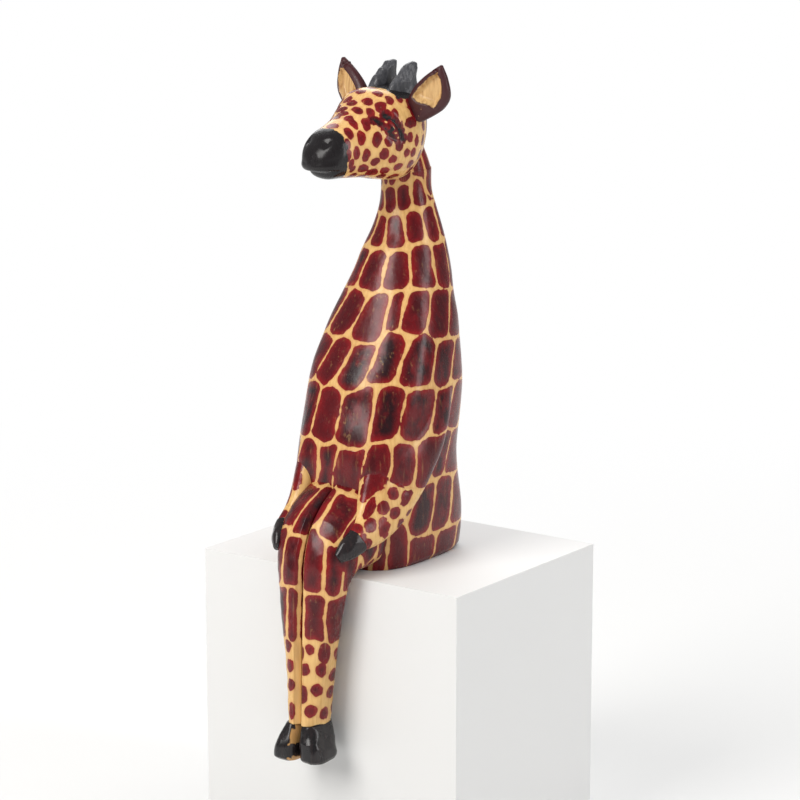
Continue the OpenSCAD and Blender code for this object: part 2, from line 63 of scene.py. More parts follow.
class Side(Enum):
    """The giraffe's own left or right, as the sign of x."""

    LEFT = 1
    RIGHT = -1

    @property
    def word(self) -> str:
        """The side's name as the nodes spell it."""
        return self.name.lower()

    def mirror(self, points: np.ndarray) -> np.ndarray:
        """The points of a left-hand piece, mirrored for the right side."""
        return points * np.array([self.value, 1, 1])


# ---- Tables and curves -----------------------------------------------------------------------------


@dataclass(frozen=True)
class Table:
    """Rows of numbers that start with a rising key, read along smooth curves."""

    rows: np.ndarray

    @classmethod
    def of(cls, *rows: tuple[float, ...]) -> Table:
        """Makes a table from its rows."""
        return cls(np.array(rows, float))

    @property
    def first(self) -> float:
        """The lowest key."""
        return float(self.rows[0, 0])

    @property
    def last(self) -> float:
        """The highest key."""
        return float(self.rows[-1, 0])

    def read(self, key: np.ndarray | float, column: int) -> np.ndarray:
        """Reads one column at the keys, on the cubic whose slope at a row joins its two neighbours.

        Args:
            key: Where to read, of any shape.
            column: Which column to read.

        Returns:
            The column's values, in the shape of key.
        """
        keys, values = self.rows[:, 0], self.rows[:, column]
        key = np.asarray(key, float)
        below = np.clip(np.searchsorted(keys, key, side="right") - 1, 0, len(keys) - 2)
        before = np.maximum(np.arange(len(keys)) - 1, 0)
        after = np.minimum(np.arange(len(keys)) + 1, len(keys) - 1)
        slope = (values[after] - values[before]) / (keys[after] - keys[before])
        width = keys[below + 1] - keys[below]
        t = (key - keys[below]) / width
        return (
            (2 * t**3 - 3 * t**2 + 1) * values[below]
            + (t**3 - 2 * t**2 + t) * width * slope[below]
            + (3 * t**2 - 2 * t**3) * values[below + 1]
            + (t**3 - t**2) * width * slope[below + 1]
        )

    def columns(self, keys: np.ndarray) -> list[np.ndarray]:
        """Every column after the key, as one value for each ring that spreads over its points."""
        return [self.read(keys, c)[:, None] for c in range(1, self.rows.shape[1])]


def bulge(v: np.ndarray, power: np.ndarray | float) -> np.ndarray:
    """A sine or cosine swollen towards a box corner: its size to the 2/power, with its own sign."""
    return np.sign(v) * np.abs(v) ** (2.0 / np.asarray(power))


def unit(v: np.ndarray) -> np.ndarray:
    """Vectors of length one along the last axis."""
    return v / np.linalg.norm(v, axis=-1, keepdims=True)


def ease(low: float, high: float, v: np.ndarray) -> np.ndarray:
    """Zero below low, one above high, and 3t^2 - 2t^3 between."""
    t = np.clip((v - low) / (high - low), 0, 1)
    return t * t * (3 - 2 * t)


def polar_reach(turn: np.ndarray, wide: np.ndarray, ahead: np.ndarray, behind: np.ndarray,
                power: np.ndarray) -> np.ndarray:
    """Distance from the centre to a rounded box, measured along a direction.

    The box meets |s / wide|^power + |c / depth|^power = 1, where s and c are the direction's sine and
    cosine and depth is ahead of or behind the centre.

    Args:
        turn: Direction in radians, zero straight ahead.
        wide: Half width.
        ahead: Depth ahead of the centre.
        behind: Depth behind the centre.
        power: Two for an ellipse, more for fuller corners.

    Returns:
        The distance, in the broadcast shape.
    """
    depth = np.where(np.cos(turn) > 0, ahead, behind)
    total = np.abs(np.sin(turn) / wide) ** power + np.abs(np.cos(turn) / depth) ** power
    return total ** (-1.0 / power)


def lumps(points: np.ndarray, size: float, seed: int, waves: int = 7) -> np.ndarray:
    """Soft unevenness between about -1 and 1: a sum of sine waves that run in seeded directions.

    Args:
        points: Places, with three numbers on the last axis.
        size: Length of a typical wave.
        seed: Seed of the directions and phases.
        waves: How many waves are added.

    Returns:
        One number for each place.
    """
    rng = np.random.default_rng(seed)
    way = unit(rng.normal(size=(waves, 3))) * rng.uniform(0.7, 1.5, (waves, 1)) * (2 * np.pi / size)
    return np.sin(points @ way.T + rng.uniform(0, 2 * np.pi, waves)).sum(-1) / math.sqrt(waves)


def even_columns(rings: np.ndarray, count: int) -> np.ndarray:
    """Spaces the points of closed rings evenly along each ring.

    Args:
        rings: Dense closed rings, of shape (rings, points, 3), with no repeated end.
        count: Points wanted on each ring.

    Returns:
        The new rings, of shape (rings, count, 3). The first point of each ring stays.
    """
    closed = np.concatenate([rings, rings[:, :1]], axis=1)
    steps = np.linalg.norm(np.diff(closed, axis=1), axis=-1)
    length = np.concatenate([np.zeros((len(rings), 1)), np.cumsum(steps, axis=1)], axis=1)
    share = np.arange(count) / count
    made = np.empty((len(rings), count, 3))
    for i, (ring, run) in enumerate(zip(closed, length)):
        for axis in range(3):
            made[i, :, axis] = np.interp(share * run[-1], run, ring[:, axis])
    return made


def grid_normals(points: np.ndarray) -> np.ndarray:
    """Unit normals of a grid closed along its columns: the cross product of its two differences.

    Args:
        points: The grid.

    Returns:
        One normal for each point.
    """
    around = np.roll(points, -1, 1) - np.roll(points, 1, 1)
    along = np.gradient(points, axis=0)
    normal = np.cross(around, along)
    return normal / np.maximum(np.linalg.norm(normal, axis=-1, keepdims=True), 1e-9)


def outward(points: np.ndarray) -> np.ndarray:
    """Grid normals turned so that most of them look away from each ring's centre.

    Args:
        points: The grid.

    Returns:
        One normal for each point.
    """
    normal = grid_normals(points)
    away = points - points.mean(1, keepdims=True)
    return normal if (normal * away).sum() > 0 else -normal


# ---- Meshes ----------------------------------------------------------------------------------------


def add_surface(name: str, points: np.ndarray, marks: dict[str, np.ndarray]) -> bpy.types.Object:
    """Makes a closed mesh from a stack of closed rings, with a fan over each end.

    Args:
        name: Name of the object.
        points: Rings in design millimetres, of shape (rings, columns, 3).
        marks: Values to store on the vertices, each of shape (rings, columns).

    Returns:
        The linked object, at the origin, with its faces outwards and shaded smooth.
    """
    rings, columns, _ = points.shape
    index = np.arange(rings * columns).reshape(rings, columns)
    a, b = index[:-1], np.roll(index[:-1], -1, 1)
    d, c = index[1:], np.roll(index[1:], -1, 1)
    quads = np.stack([a, b, c, d], -1).reshape(-1, 4)
    first, last = rings * columns, rings * columns + 1
    start = np.stack([np.roll(index[0], -1), index[0], np.full(columns, first)], -1)
    end = np.stack([index[-1], np.roll(index[-1], -1), np.full(columns, last)], -1)
    vertices = np.concatenate([points.reshape(-1, 3), points[0].mean(0)[None], points[-1].mean(0)[None]])
    corners = vertices[quads]
    volume = (np.cross(corners[:, 0], corners[:, 1]) * corners[:, 2]).sum()
    volume += (np.cross(corners[:, 0], corners[:, 2]) * corners[:, 3]).sum()
    if volume < 0:
        quads, start, end = quads[:, ::-1], start[:, ::-1], end[:, ::-1]
    mesh = bpy.data.meshes.new(name)
    mesh.from_pydata((vertices * MM).tolist(), [], quads.tolist() + start.tolist() + end.tolist())
    mesh.polygons.foreach_set("use_smooth", np.ones(len(mesh.polygons), bool))
    for mark, values in marks.items():
        flat = np.concatenate([values.ravel(), [values[0].mean(), values[-1].mean()]])
        mesh.attributes.new(mark, "FLOAT", "POINT").data.foreach_set("value", flat.astype(np.float32))
    mesh.validate()
    made = bpy.data.objects.new(name, mesh)
    bpy.context.scene.collection.objects.link(made)
    return made


# ---- Sizes shared by the sub-assemblies --------------------------------------------------------------


@dataclass(frozen=True)
class Sizes:
    """The part's driving sizes, in design millimetres."""

    half_w: float = 25.25
    half_d: float = 28.5
    half_neck: float = 9.2
    neck_y: float = 19.0
    lap_y: float = 20.0
    lap_h: float = 35.0
    shelf_in: float = 30.0
    head_l: float = 53.5
    half_head: float = 15.0
    head_h: float = 34.0
    jaw_drop: float = 3.4
    head_turn: float = 12.0
    arm_w: float = 25.0
    elbow_x: float = 25.0
    elbow_z: float = 35.0
    fore_hoof_l: float = 11.0
    leg_drop: float = 66.5
    knee_reach: float = 26.0
    thigh_w: float = 19.0
    ankle_w: float = 7.0
    half_shin: float = 7.5
    slit_w: float = 0.5
    hoof_h: float = 13.4
    half_hoof: float = 5.0
    ear_l: float = 20.5
    half_ear: float = 6.8
    ear_hollow: float = 2.6
    ear_z: float = 22.0
    right_ear_forward: float = 4.0
    right_ear_drop: float = 0.4
    horn_h: float = 8.5
    horn_l: float = 13.5
    horn_t: float = 5.4
    horn_gap: float = 11.0


SIZES = Sizes()


@dataclass
class Trunk:
    """The trunk's form before the arms are added: a stack of rounded boxes from seat to neck."""

    table: Table = field(init=False)

    def __post_init__(self) -> None:
        """Writes the rows: height, centre's y, half width, reach ahead, reach behind, corner power."""
        h, w, d, n, y = TRUNK_HEIGHT, SIZES.half_w, SIZES.half_d, SIZES.half_neck, SIZES.neck_y
        self.table = Table.of(
            (0, 0.19 * d, 0.77 * w, 0.91 * d, 1.01 * d, 3.2),
            (0.016 * h, 0.20 * d, 0.83 * w, 0.93 * d, 1.04 * d, 3.2),
            (0.11 * h, 0.21 * d, 0.87 * w, 0.94 * d, 1.05 * d, 3.1),
            (0.22 * h, 0.20 * d, 0.87 * w, 0.94 * d, 0.99 * d, 2.8),
            (0.28 * h, 0.19 * d, 0.90 * w, 0.95 * d, 0.96 * d, 2.7),
            (0.37 * h, 0.19 * d, 0.97 * w, 0.98 * d, 0.96 * d, 2.7),
            (0.45 * h, 0.21 * d, 1.00 * w, 0.95 * d, 0.98 * d, 2.6),
            (0.51 * h, 0.22 * d, 0.99 * w, 0.87 * d, 0.99 * d, 2.45),
            (0.565 * h, 0.28 * d, 0.95 * w, 0.77 * d, 0.93 * d, 2.35),
            (0.62 * h, 0.35 * d, 0.89 * w, 0.68 * d, 0.87 * d, 2.3),
            (0.68 * h, 0.68 * y, 1.00 * n + 0.42 * w, 0.63 * d, 0.76 * d, 2.2),
            (0.735 * h, 0.87 * y, 1.00 * n + 0.33 * w, 1.94 * n, 2.00 * n, 2.1),
            (0.79 * h, 0.96 * y, 1.70 * n, 1.72 * n, 1.72 * n, 2),
            (0.845 * h, 1.04 * y, 1.40 * n, 1.40 * n, 1.40 * n, 2),
            (0.90 * h, 1.05 * y, 1.14 * n, 1.14 * n, 1.14 * n, 2),
            (0.945 * h, 1.01 * y, 1.01 * n, 1.01 * n, 1.01 * n, 2),
            (1.00 * h, 1.00 * y, 1.00 * n, 1.00 * n, 1.00 * n, 2),
        )

    def surface(self, height: np.ndarray, turn: np.ndarray) -> np.ndarray:
        """Points on the trunk: from the centre line, the rounded box's reach along each direction.

        Args:
            height: Height above the seat.
            turn: Direction in radians from straight ahead, growing towards the giraffe's left.

        Returns:
            Points, with x, y and z on the last axis.
        """
        y, wide, ahead, behind, power = (self.table.read(height, c) for c in range(1, 6))
        reach = polar_reach(turn, wide, ahead, behind, power)
        return np.stack([reach * np.sin(turn), y - reach * np.cos(turn), height + 0 * turn], -1)


@dataclass
class Arm:
    """The foreleg's path on the giraffe's left: shoulder, elbow, wrist and hoof tip."""

    elbow: float = 3.8
    wrist: float = 7.0
    tip: float = 9.0
    step: float = 0.15
    cap: float = 0.7
    out: Triple = (0.90, -0.30, 0.25)
    table: Table = field(init=False)

    def __post_init__(self) -> None:
        """Writes the rows: key, centre's x, y and z, half width, half thickness, corner power."""
        ex, ez, hl, ha, sz = (SIZES.elbow_x, SIZES.elbow_z, SIZES.fore_hoof_l, SIZES.arm_w / 2,
                              2.4 * SIZES.elbow_z)
        self.table = Table.of(
            (0, 0.52 * ex, 9, sz, 0.60 * ha, 5.5, 2),
            (1, 0.72 * ex, 3.5, 0.785 * sz, 0.98 * ha, 6.5, 2.1),
            (2, 0.76 * ex, -3, 0.62 * sz, 1.10 * ha, 6.5, 2.3),
            (3, 0.75 * ex, -9.8, 1.18 * ez, 1.07 * ha, 6.2, 2.5),
            (4, 0.71 * ex, -15.2, 0.92 * ez, 0.99 * ha, 5.5, 2.5),
            (5, 0.69 * ex, -20.5, 0.70 * ez, 0.82 * ha, 4.8, 2.4),
            (6, 0.665 * ex, -26.5, 0.54 * ez, 0.61 * ha, 4.2, 2.3),
            (7, 0.65 * ex, -33, 0.44 * ez, 0.39 * ha, 3.6, 2.2),
            (8, 0.61 * ex, -33 - 0.45 * hl, 0.44 * ez - 0.26 * hl, 0.35 * ha, 3.3, 2.2),
            (9, 0.55 * ex, -33 - 0.80 * hl, 0.44 * ez - 0.50 * hl, 0.18 * ha, 1.7, 2),
        )

    def centre(self, key: np.ndarray) -> np.ndarray:
        """Points on the path."""
        return np.stack([self.table.read(key, c) for c in (1, 2, 3)], -1)

    def axes(self, key: np.ndarray) -> tuple[np.ndarray, np.ndarray, np.ndarray]:
        """Unit directions along the path, through its thickness (outwards) and across its width.

        Args:
            key: Keys on the path.

        Returns:
            The three directions, each with x, y and z on the last axis.
        """
        ahead = self.centre(np.minimum(key + self.step, self.tip))
        along = unit(ahead - self.centre(np.maximum(key - self.step, 0.0)))
        out = np.array(self.out)
        thick = unit(out - along * (along @ out)[..., None])
        return along, thick, np.cross(thick, along)

    def rings(self, keys: np.ndarray, turns: np.ndarray) -> np.ndarray:
        """Rings square to the path: rounded boxes, half width across and half thickness outwards.

        Args:
            keys: One key for each ring.
            turns: Directions round the ring, zero straight out through the thickness.

        Returns:
            Points of shape (keys, turns, 3).
        """
        _, thick, wide = self.axes(keys)
        w, t, n = (self.table.read(keys, c)[:, None] for c in (4, 5, 6))
        reach = polar_reach(turns[None], w, t, t, n)
        return (self.centre(keys)[:, None] + wide[:, None] * (reach * np.sin(turns))[..., None]
                + thick[:, None] * (reach * np.cos(turns))[..., None])

    def depth(self, points: np.ndarray, end: float) -> tuple[np.ndarray, np.ndarray]:
        """Signed distance to the arm, measured from its path, and how far back a point lies on it.

        With s = (|a / w|^n + |b / t|^n)^(1/n) for the offsets a and b from the path, a point r from
        the path is r (1 - 1 / s) outside. Past the end key the ring shrinks to nothing.

        Args:
            points: Places of shape (n, 3).
            end: Key where the arm starts to close.

        Returns:
            The distances, and the offset across the arm as a share of its half width.
        """
        samples = np.linspace(0, end + self.cap, 90)
        path = self.centre(samples)
        nearest = ((points[:, None] - path[None]) ** 2).sum(-1).argmin(1)
        key = samples[nearest]
        speed = np.linalg.norm(np.gradient(path, samples, axis=0), axis=-1)[nearest]
        along, _, _ = self.axes(key)
        key = np.clip(key + ((points - self.centre(key)) * along).sum(-1) / speed, 0, end + self.cap)
        _, thick, wide = self.axes(key)
        gap = points - self.centre(key)
        a, b = (gap * wide).sum(-1), (gap * thick).sum(-1)
        closing = np.sqrt(np.clip(1 - (np.maximum(key - end, 0) / self.cap) ** 2, 0.02, 1))
        w, t = self.table.read(key, 4) * closing, self.table.read(key, 5) * closing
        n = self.table.read(key, 6)
        s = (np.abs(a / w) ** n + np.abs(b / t) ** n) ** (1 / n)
        reach = np.sqrt(a * a + b * b)
        return reach * (1 - 1 / np.maximum(s, 1e-3)), a / w


TRUNK = Trunk()
ARM = Arm()


# ---- Geometry of the sub-assemblies ------------------------------------------------------------------


@dataclass
class Leg:
    """A hind leg of the giraffe's left: thigh, knee and shin, hanging to the ankle."""

    inner_round: float = 1.8
    inner_power: float = 9.0
    front_power: float = 2.1
    bevel: float = 2.1
    shut: float = 0.05
    dense: int = 720
    table: Table = field(init=False)
    ankle_z: float = field(init=False)
    knee_y: float = field(init=False)

    def __post_init__(self) -> None:
        """Writes the rows: key, centre's y and z, tilt, half depth, outer x, power behind, inner x."""
        s = SIZES
        self.ankle_z, self.knee_y = s.hoof_h - s.leg_drop, -s.lap_y - s.knee_reach
        a, k, h, w, hs, shut = self.ankle_z, self.knee_y, s.lap_h, s.thigh_w, s.half_shin, self.shut
        self.table = Table.of(
            (0, -s.lap_y, 0.515 * h, 90, 0.485 * h, w, 3, shut),
            (1, -s.lap_y - 0.26 * s.knee_reach, 0.45 * h, 80, 0.43 * h, 0.97 * w, 3, shut),
            (2, -s.lap_y - 0.50 * s.knee_reach, 0.33 * h, 58, 0.355 * h, 0.91 * w, 2.9, 0.40 * s.slit_w),
            (3, k + 1.20 * hs, 0.14 * h, 30, 1.30 * hs, 0.81 * w, 2.8, 0.50 * s.slit_w),
            (4, k + 0.97 * hs, 0.07 * a, 8, 1.05 * hs, 0.71 * w, 2.7, 0.50 * s.slit_w),
            (5, k + 0.86 * hs, 0.29 * a, 2, 1.01 * hs, 0.48 * w + 0.37 * s.ankle_w, 2.7, 0.45 * s.slit_w),
            (6, k + 0.80 * hs, 0.55 * a, 0, 0.98 * hs, 0.26 * w + 0.64 * s.ankle_w, 2.7, 0.36 * s.slit_w),
            (7, k + 0.72 * hs, 0.81 * a, 0, 0.95 * hs, 0.10 * w + 0.87 * s.ankle_w, 2.7, 0.20 * s.slit_w),
            (8, k + 0.66 * hs, a, 0, 0.93 * hs, s.ankle_w, 2.7, shut),
        )

    def rings(self, keys: np.ndarray, columns: int) -> np.ndarray:
        """Rings that start at the inner edge in front and run outwards.

        Outside the middle line a ring is a rounded box. Inside, it is a square corner whose front
        edge is cut back by a knife bevel along the saw cut.

        Args:
            keys: One key for each ring.
            columns: Points on each ring.

        Returns:
            Points of shape (keys, columns, 3).
        """
        y, z, tilt, half, outer_x, behind, inner_x = self.table.columns(keys)
        turn = np.linspace(math.pi, -math.pi, self.dense, endpoint=False)[None]
        cos, sin = np.cos(turn), np.sin(turn)
        middle = inner_x + self.inner_round
        outer = cos > 0
        power = np.where(outer, np.where(sin > 0, self.front_power, behind), self.inner_power)
        x = middle + np.where(outer, outer_x - middle, self.inner_round) * bulge(cos, power)
        cut = half - self.bevel * np.maximum(middle - x, 0) / self.inner_round
        d = np.minimum(half * bulge(sin, power), cut)
        tilt = np.radians(tilt)
        rings = np.stack([x, y - d * np.cos(tilt), z + d * np.sin(tilt)], -1)
        return even_columns(rings, columns)


@dataclass
class Head:
    """The head's form in its own frame: facing -Y, with u measured ahead of the neck's centre."""

    table: Table = field(init=False)
    jaw_z: float = field(init=False)

    def __post_init__(self) -> None:
        """Writes the rows: u, middle's height over the jaw line, half width, up, down, power."""
        length, w, h = SIZES.head_l, SIZES.half_head, SIZES.head_h
        q, nape = h / 2, 0.13 * SIZES.head_l
        self.jaw_z = TRUNK_HEIGHT - SIZES.jaw_drop
        shares = (
            (0.000, 0.590, 0.10, 0.09, 0.09, 2),
            (0.020, 0.590, 0.30, 0.41, 0.47, 2),
            (0.075, 0.560, 0.52, 0.71, 0.74, 2),
            (0.160, 0.530, 0.77, 0.92, 0.93, 2.1),
            (0.260, 0.500, 0.96, 1.00, 1.00, 2.2),
            (0.390, 0.494, 1.03, 0.99, 0.965, 2.6),
            (0.500, 0.476, 1.01, 0.98, 0.88, 2.7),
            (0.590, 0.447, 0.88, 0.82, 0.77, 2.5),
            (0.685, 0.405, 0.75, 0.65, 0.67, 2.3),
            (0.780, 0.365, 0.67, 0.565, 0.575, 2.3),
            (0.865, 0.335, 0.63, 0.50, 0.51, 2.4),
            (0.930, 0.305, 0.52, 0.40, 0.39, 2.4),
            (0.980, 0.285, 0.31, 0.23, 0.22, 2.2),
            (1.000, 0.280, 0.08, 0.06, 0.06, 2),
        )
        self.table = Table.of(*((s * length - nape, m * h, a * w, up * q, down * q, n)
                                for s, m, a, up, down, n in shares))

    def place(self, points: np.ndarray) -> np.ndarray:
        """Turns points from the head's frame about the neck and sets them over it.

        Args:
            points: Points in the head's frame.

        Returns:
            The points in the frame of the whole figure.
        """
        turn = -math.radians(SIZES.head_turn)
        c, s = math.cos(turn), math.sin(turn)
        x, y, z = points[..., 0], points[..., 1], points[..., 2]
        return np.stack([c * x - s * y, s * x + c * y + SIZES.neck_y, z], -1)

    def rings(self, u: np.ndarray, turn: np.ndarray) -> np.ndarray:
        """Upright rings of the head, before the features are carved.

        Args:
            u: Distance of each ring ahead of the neck's centre.
            turn: Directions round the ring, zero straight up, growing towards the left.

        Returns:
            Points of shape (rings, turns, 3) in the head's frame.
        """
        middle, wide, up, down, power = self.table.columns(u)
        reach = polar_reach(turn[None], wide, up, down, power)
        return np.stack([reach * np.sin(turn), -u[:, None] + 0 * reach,
                         self.jaw_z + middle + reach * np.cos(turn)], -1)


LEG = Leg()
HEAD = Head()


@dataclass
class BodySurface:
    """The trunk with both upper arms raised on it, as one grid of heights and turns."""

    rows: int = 262
    columns: int = 320
    shoulder_blend: float = 7.0
    crease_blend: float = 0.7
    highest_relief: float = 13.0
    halvings: int = 13
    lap_step: float = 0.05
    belly: float = 5.0
    bulge: np.ndarray = field(init=False)
    heights: np.ndarray = field(init=False)
    turns: np.ndarray = field(init=False)
    points: np.ndarray = field(init=False)

    def __post_init__(self) -> None:
        """Works the grid out once; the mesh and the paint both use it."""
        lap = SIZES.lap_h
        low = np.linspace(0.0, lap - self.lap_step, int(self.rows * lap / TRUNK_HEIGHT))
        high = np.linspace(lap + self.lap_step, TRUNK_HEIGHT, self.rows - len(low))
        self.heights = np.concatenate([low, high])
        self.turns = np.linspace(-math.pi, math.pi, self.columns, endpoint=False)
        form = TRUNK.surface(self.heights[:, None], self.turns[None])
        points = form + self.relief(form)[..., None] * self._ways(form)
        height, side = self.heights[:, None], np.abs(np.degrees(self.turns))[None]
        limit = -SIZES.lap_y - 8 * ease(24, 28, height) * ease(50, 40, side)
        points[..., 1] = np.where(height < lap, np.maximum(points[..., 1], limit), points[..., 1])
        relief = np.maximum(form[..., 1] - points[..., 1], 0)
        belly = self.belly * ease(64, 37, height) * ease(24, 29, height) * ease(49, 26, side)
        self.bulge = np.maximum(belly - 0.8 * relief, 0)
        points[..., 1] -= self.bulge
        self.points = points

    def _ways(self, form: np.ndarray) -> np.ndarray:
        """Outward directions from the trunk, flattened to the level so that rows keep their height.

        Args:
            form: The trunk's grid.

        Returns:
            One direction for each grid point.
        """
        way = outward(form)
        way[..., 2] = 0
        return unit(way)

    def relief(self, form: np.ndarray) -> np.ndarray:
        """How far the arms stand out of the trunk along each outward direction.

        Along a ray at distance q the trunk is q away and the arm f(q). The two are joined by the
        smooth minimum min(q, f) - (k - |q - f|)^2 / 4k, and the distance where it is nought is found
        by halving. The blend k is wide towards the chest and narrow at the crease behind the arm.

        Args:
            form: The trunk's grid.

        Returns:
            One distance for each grid point.
        """
        way = self._ways(form).reshape(-1, 3)
        start = form.reshape(-1, 3)
        side = np.where(start < 0, [[-1.0, 1, 1]], 1.0)
        start, way = start * side, way * side
        near = (start[:, 2] < 2.5 * SIZES.elbow_z) & (start[:, 2] > 0.3 * SIZES.elbow_z) & (start[:, 0] > 6)
        start, way = start[near], way[near]
        low, high = np.zeros(len(start)), np.full(len(start), self.highest_relief)
        for _ in range(self.halvings):
            q = (low + high) / 2
            arm, across = ARM.depth(start + way * q[:, None], ARM.elbow)
            k = self.crease_blend + (self.shoulder_blend - self.crease_blend) * ease(0.35, -0.75, across)
            joined = np.minimum(q, arm) - np.maximum(k - np.abs(q - arm), 0) ** 2 / (4 * k)
            inside = joined < 0
            low, high = np.where(inside, q, low), np.where(inside, high, q)
        relief = np.zeros(len(near))
        relief[near] = np.where(high < 0.02, 0, high)
        return relief.reshape(form.shape[:2])

    def rings(self) -> tuple[np.ndarray, int]:
        """The grid with its seat rounded in and closed underneath.

        Returns:
            All rings from the seat's centre up, and how many of them lie under the grid.
        """
        edge = self.points[0]
        middle = edge.mean(0)
        under = []
        for share in (0.2, 0.5, 0.8, 0.95):
            ring = middle + (edge - middle) * share
            ring[:, 2] = 0
            under.append(ring)
        return np.concatenate([np.array(under), self.points]), len(under)


# ---- Paint, as signed distances on the surfaces --------------------------------------------------------

UNPAINTED = -5.0                                      # a distance that any painted shape beats
FAR_OUT, FAR_IN = -4.0, 8.0                           # range of the distances kept on the meshes
PLAIN_TONE = 0.5
MOST_LEVEL_MM = 60.0


@dataclass
class Paint:
    """What is painted on a surface. Distances are in millimetres and positive inside the paint."""

    dye: np.ndarray
    tone: np.ndarray
    black: np.ndarray

    @classmethod
    def bare(cls, shape: tuple[int, ...]) -> Paint:
        """A surface with nothing on it."""
        return cls(np.full(shape, UNPAINTED), np.full(shape, PLAIN_TONE), np.full(shape, UNPAINTED))

    def add(self, distance: np.ndarray, tone: np.ndarray | float) -> None:
        """Adds dyed shapes: where they reach further than what is there, their distance and tone win.

        Args:
            distance: Signed distances inside the shapes.
            tone: How dark their dye can be, from 0 to 1.
        """
        wins = distance > self.dye
        self.tone = np.where(wins, tone, self.tone)
        self.dye = np.maximum(self.dye, distance)

    def marks(self) -> dict[str, np.ndarray]:
        """The values as vertex marks, clipped so that they bake well."""
        return {"dye": np.clip(self.dye, FAR_OUT, FAR_IN), "tone": self.tone,
                "black": np.clip(self.black, FAR_OUT, FAR_IN)}


def level_scale(points: np.ndarray, levels: np.ndarray) -> np.ndarray:
    """Millimetres for one unit of level at each point of a grid, from the grid's own spacing."""
    steps = np.linalg.norm(np.gradient(points, axis=0), axis=-1)
    return steps / np.abs(np.gradient(levels))[:, None]


@dataclass(frozen=True)
class Canvas:
    """A grid to paint on, with two coordinates, place across and level along.

    place_mm and level_mm are the millimetres for one unit of each, at each point. The points
    themselves shape the unevenness of the hand.
    """

    place: np.ndarray
    level: np.ndarray
    points: np.ndarray
    place_mm: np.ndarray
    level_mm: np.ndarray

    @classmethod
    def of(cls, points: np.ndarray, places: np.ndarray, levels: np.ndarray) -> Canvas:
        """Measures a grid that is closed along its columns.

        Args:
            points: The grid, of shape (levels, places, 3).
            places: Place of each column, evenly spaced.
            levels: Level of each ring.

        Returns:
            The canvas, with level_mm held down where the rings stand far apart.
        """
        around = np.linalg.norm(np.roll(points, -1, 1) - np.roll(points, 1, 1), axis=-1)
        place_mm = around / (2 * (places[1] - places[0]))
        level_mm = np.minimum(level_scale(points, levels), MOST_LEVEL_MM)
        flat = np.zeros(points.shape[:2])
        return cls(places[None] + flat, levels[:, None] + flat, points, place_mm, level_mm)


@dataclass(frozen=True)
class PatchRow:
    """One course of long patches between two wavy lines.

    low and high are (place, level) knots of the bare lines under and over the course, and each cut is
    the bare line between two patches, as its places at the course's bottom, middle and top.
    """

    low: tuple[tuple[float, float], ...]
    high: tuple[tuple[float, float], ...]
    cuts: tuple[Triple, ...]


def laid(lines: tuple[tuple[tuple[float, float], ...], ...],
         cuts: tuple[tuple[Triple, ...], ...]) -> tuple[PatchRow, ...]:
    """A course of patches between each line and the next, each with its own cuts."""
    return tuple(PatchRow(low, high, own) for low, high, own in zip(lines[:-1], lines[1:], cuts))


@dataclass(frozen=True)
class PatchWork:
    """Courses of patches laid like bricks over a surface with two coordinates, place and level."""

    rows: tuple[PatchRow, ...]
    seed: int
    line: float = 1.05
    corner: float = 2.9
    wobble: float = 0.2
    period: float = 0.0

    def paint(self, canvas: Canvas) -> tuple[np.ndarray, np.ndarray]:
        """Distance to the nearest patch's edge, and each patch's own tone.

        Inside a patch, a is the distance to the nearer side and b to the nearer end. The distance
        is the smaller, and r - hypot(r - a, r - b) in a corner where both are less than r.

        Args:
            canvas: The surface.

        Returns:
            Signed distances and tones between 0 and 1.
        """
        place, level, level_mm, mm = canvas.place, canvas.level, canvas.level_mm, canvas.place_mm.ravel()
        distance, tone = np.full(place.shape, FAR_OUT), np.full(place.shape, PLAIN_TONE)
        slow, quick = lumps(canvas.points, 9.0, self.seed), lumps(canvas.points, 3.6, self.seed + 1)
        hand = self.wobble * (slow + 0.6 * quick)
        for number, row in enumerate(self.rows):
            rng = np.random.default_rng([self.seed, number])
            low, high = (np.interp(place, *np.array(line).T, period=self.period or None)
                         for line in (row.low, row.high))
            share = np.clip((level - low) / np.maximum(high - low, 0.1), 0, 1)
            knots = np.array(row.cuts)
            bottom, middle, top = (knots[:, c][:, None] for c in range(3))
            flat = share.ravel()[None]
            lines = np.where(flat < 0.5, bottom + (middle - bottom) * 2 * flat,
                             middle + (top - middle) * (2 * flat - 1))
            gap = place.ravel()[None] - lines
            if self.period:
                gap = (gap + self.period / 2) % self.period - self.period / 2
            after = np.where(gap >= 0, gap, np.inf)
            before = np.where(gap < 0, -gap, np.inf)
            width = 0.5 * self.line * rng.uniform(0.7, 1.35, len(knots))
            left, right = after.argmin(0), before.argmin(0)
            a = np.minimum(after.min(0) * mm - width[left], before.min(0) * mm - width[right])
            a = a.reshape(place.shape)
            if not self.period:
                a = np.where(np.isfinite(a), a, FAR_OUT)
            b = np.minimum(level - low, high - level) * level_mm - 0.5 * self.line * rng.uniform(0.8, 1.2)
            a, b = a + hand, b + hand
            r = self.corner * rng.uniform(0.75, 1.25, len(knots) + 1)[left].reshape(place.shape)
            span = after.min(0) + before.min(0)
            span = np.where(np.isfinite(span), span, 99.0)
            r = np.clip(r, 0.5, np.maximum(0.36 * (span * mm).reshape(place.shape), 0.6))
            rounded = r - np.hypot(np.minimum(a - r, 0), np.minimum(b - r, 0))
            sd = np.where((a < r) & (b < r), rounded, np.minimum(a, b))
            wins = sd > distance
            distance = np.where(wins, sd, distance)
            tones = rng.uniform(0, 1, len(knots) + 1)
            tone = np.where(wins, tones[left].reshape(place.shape), tone)
        return distance, tone


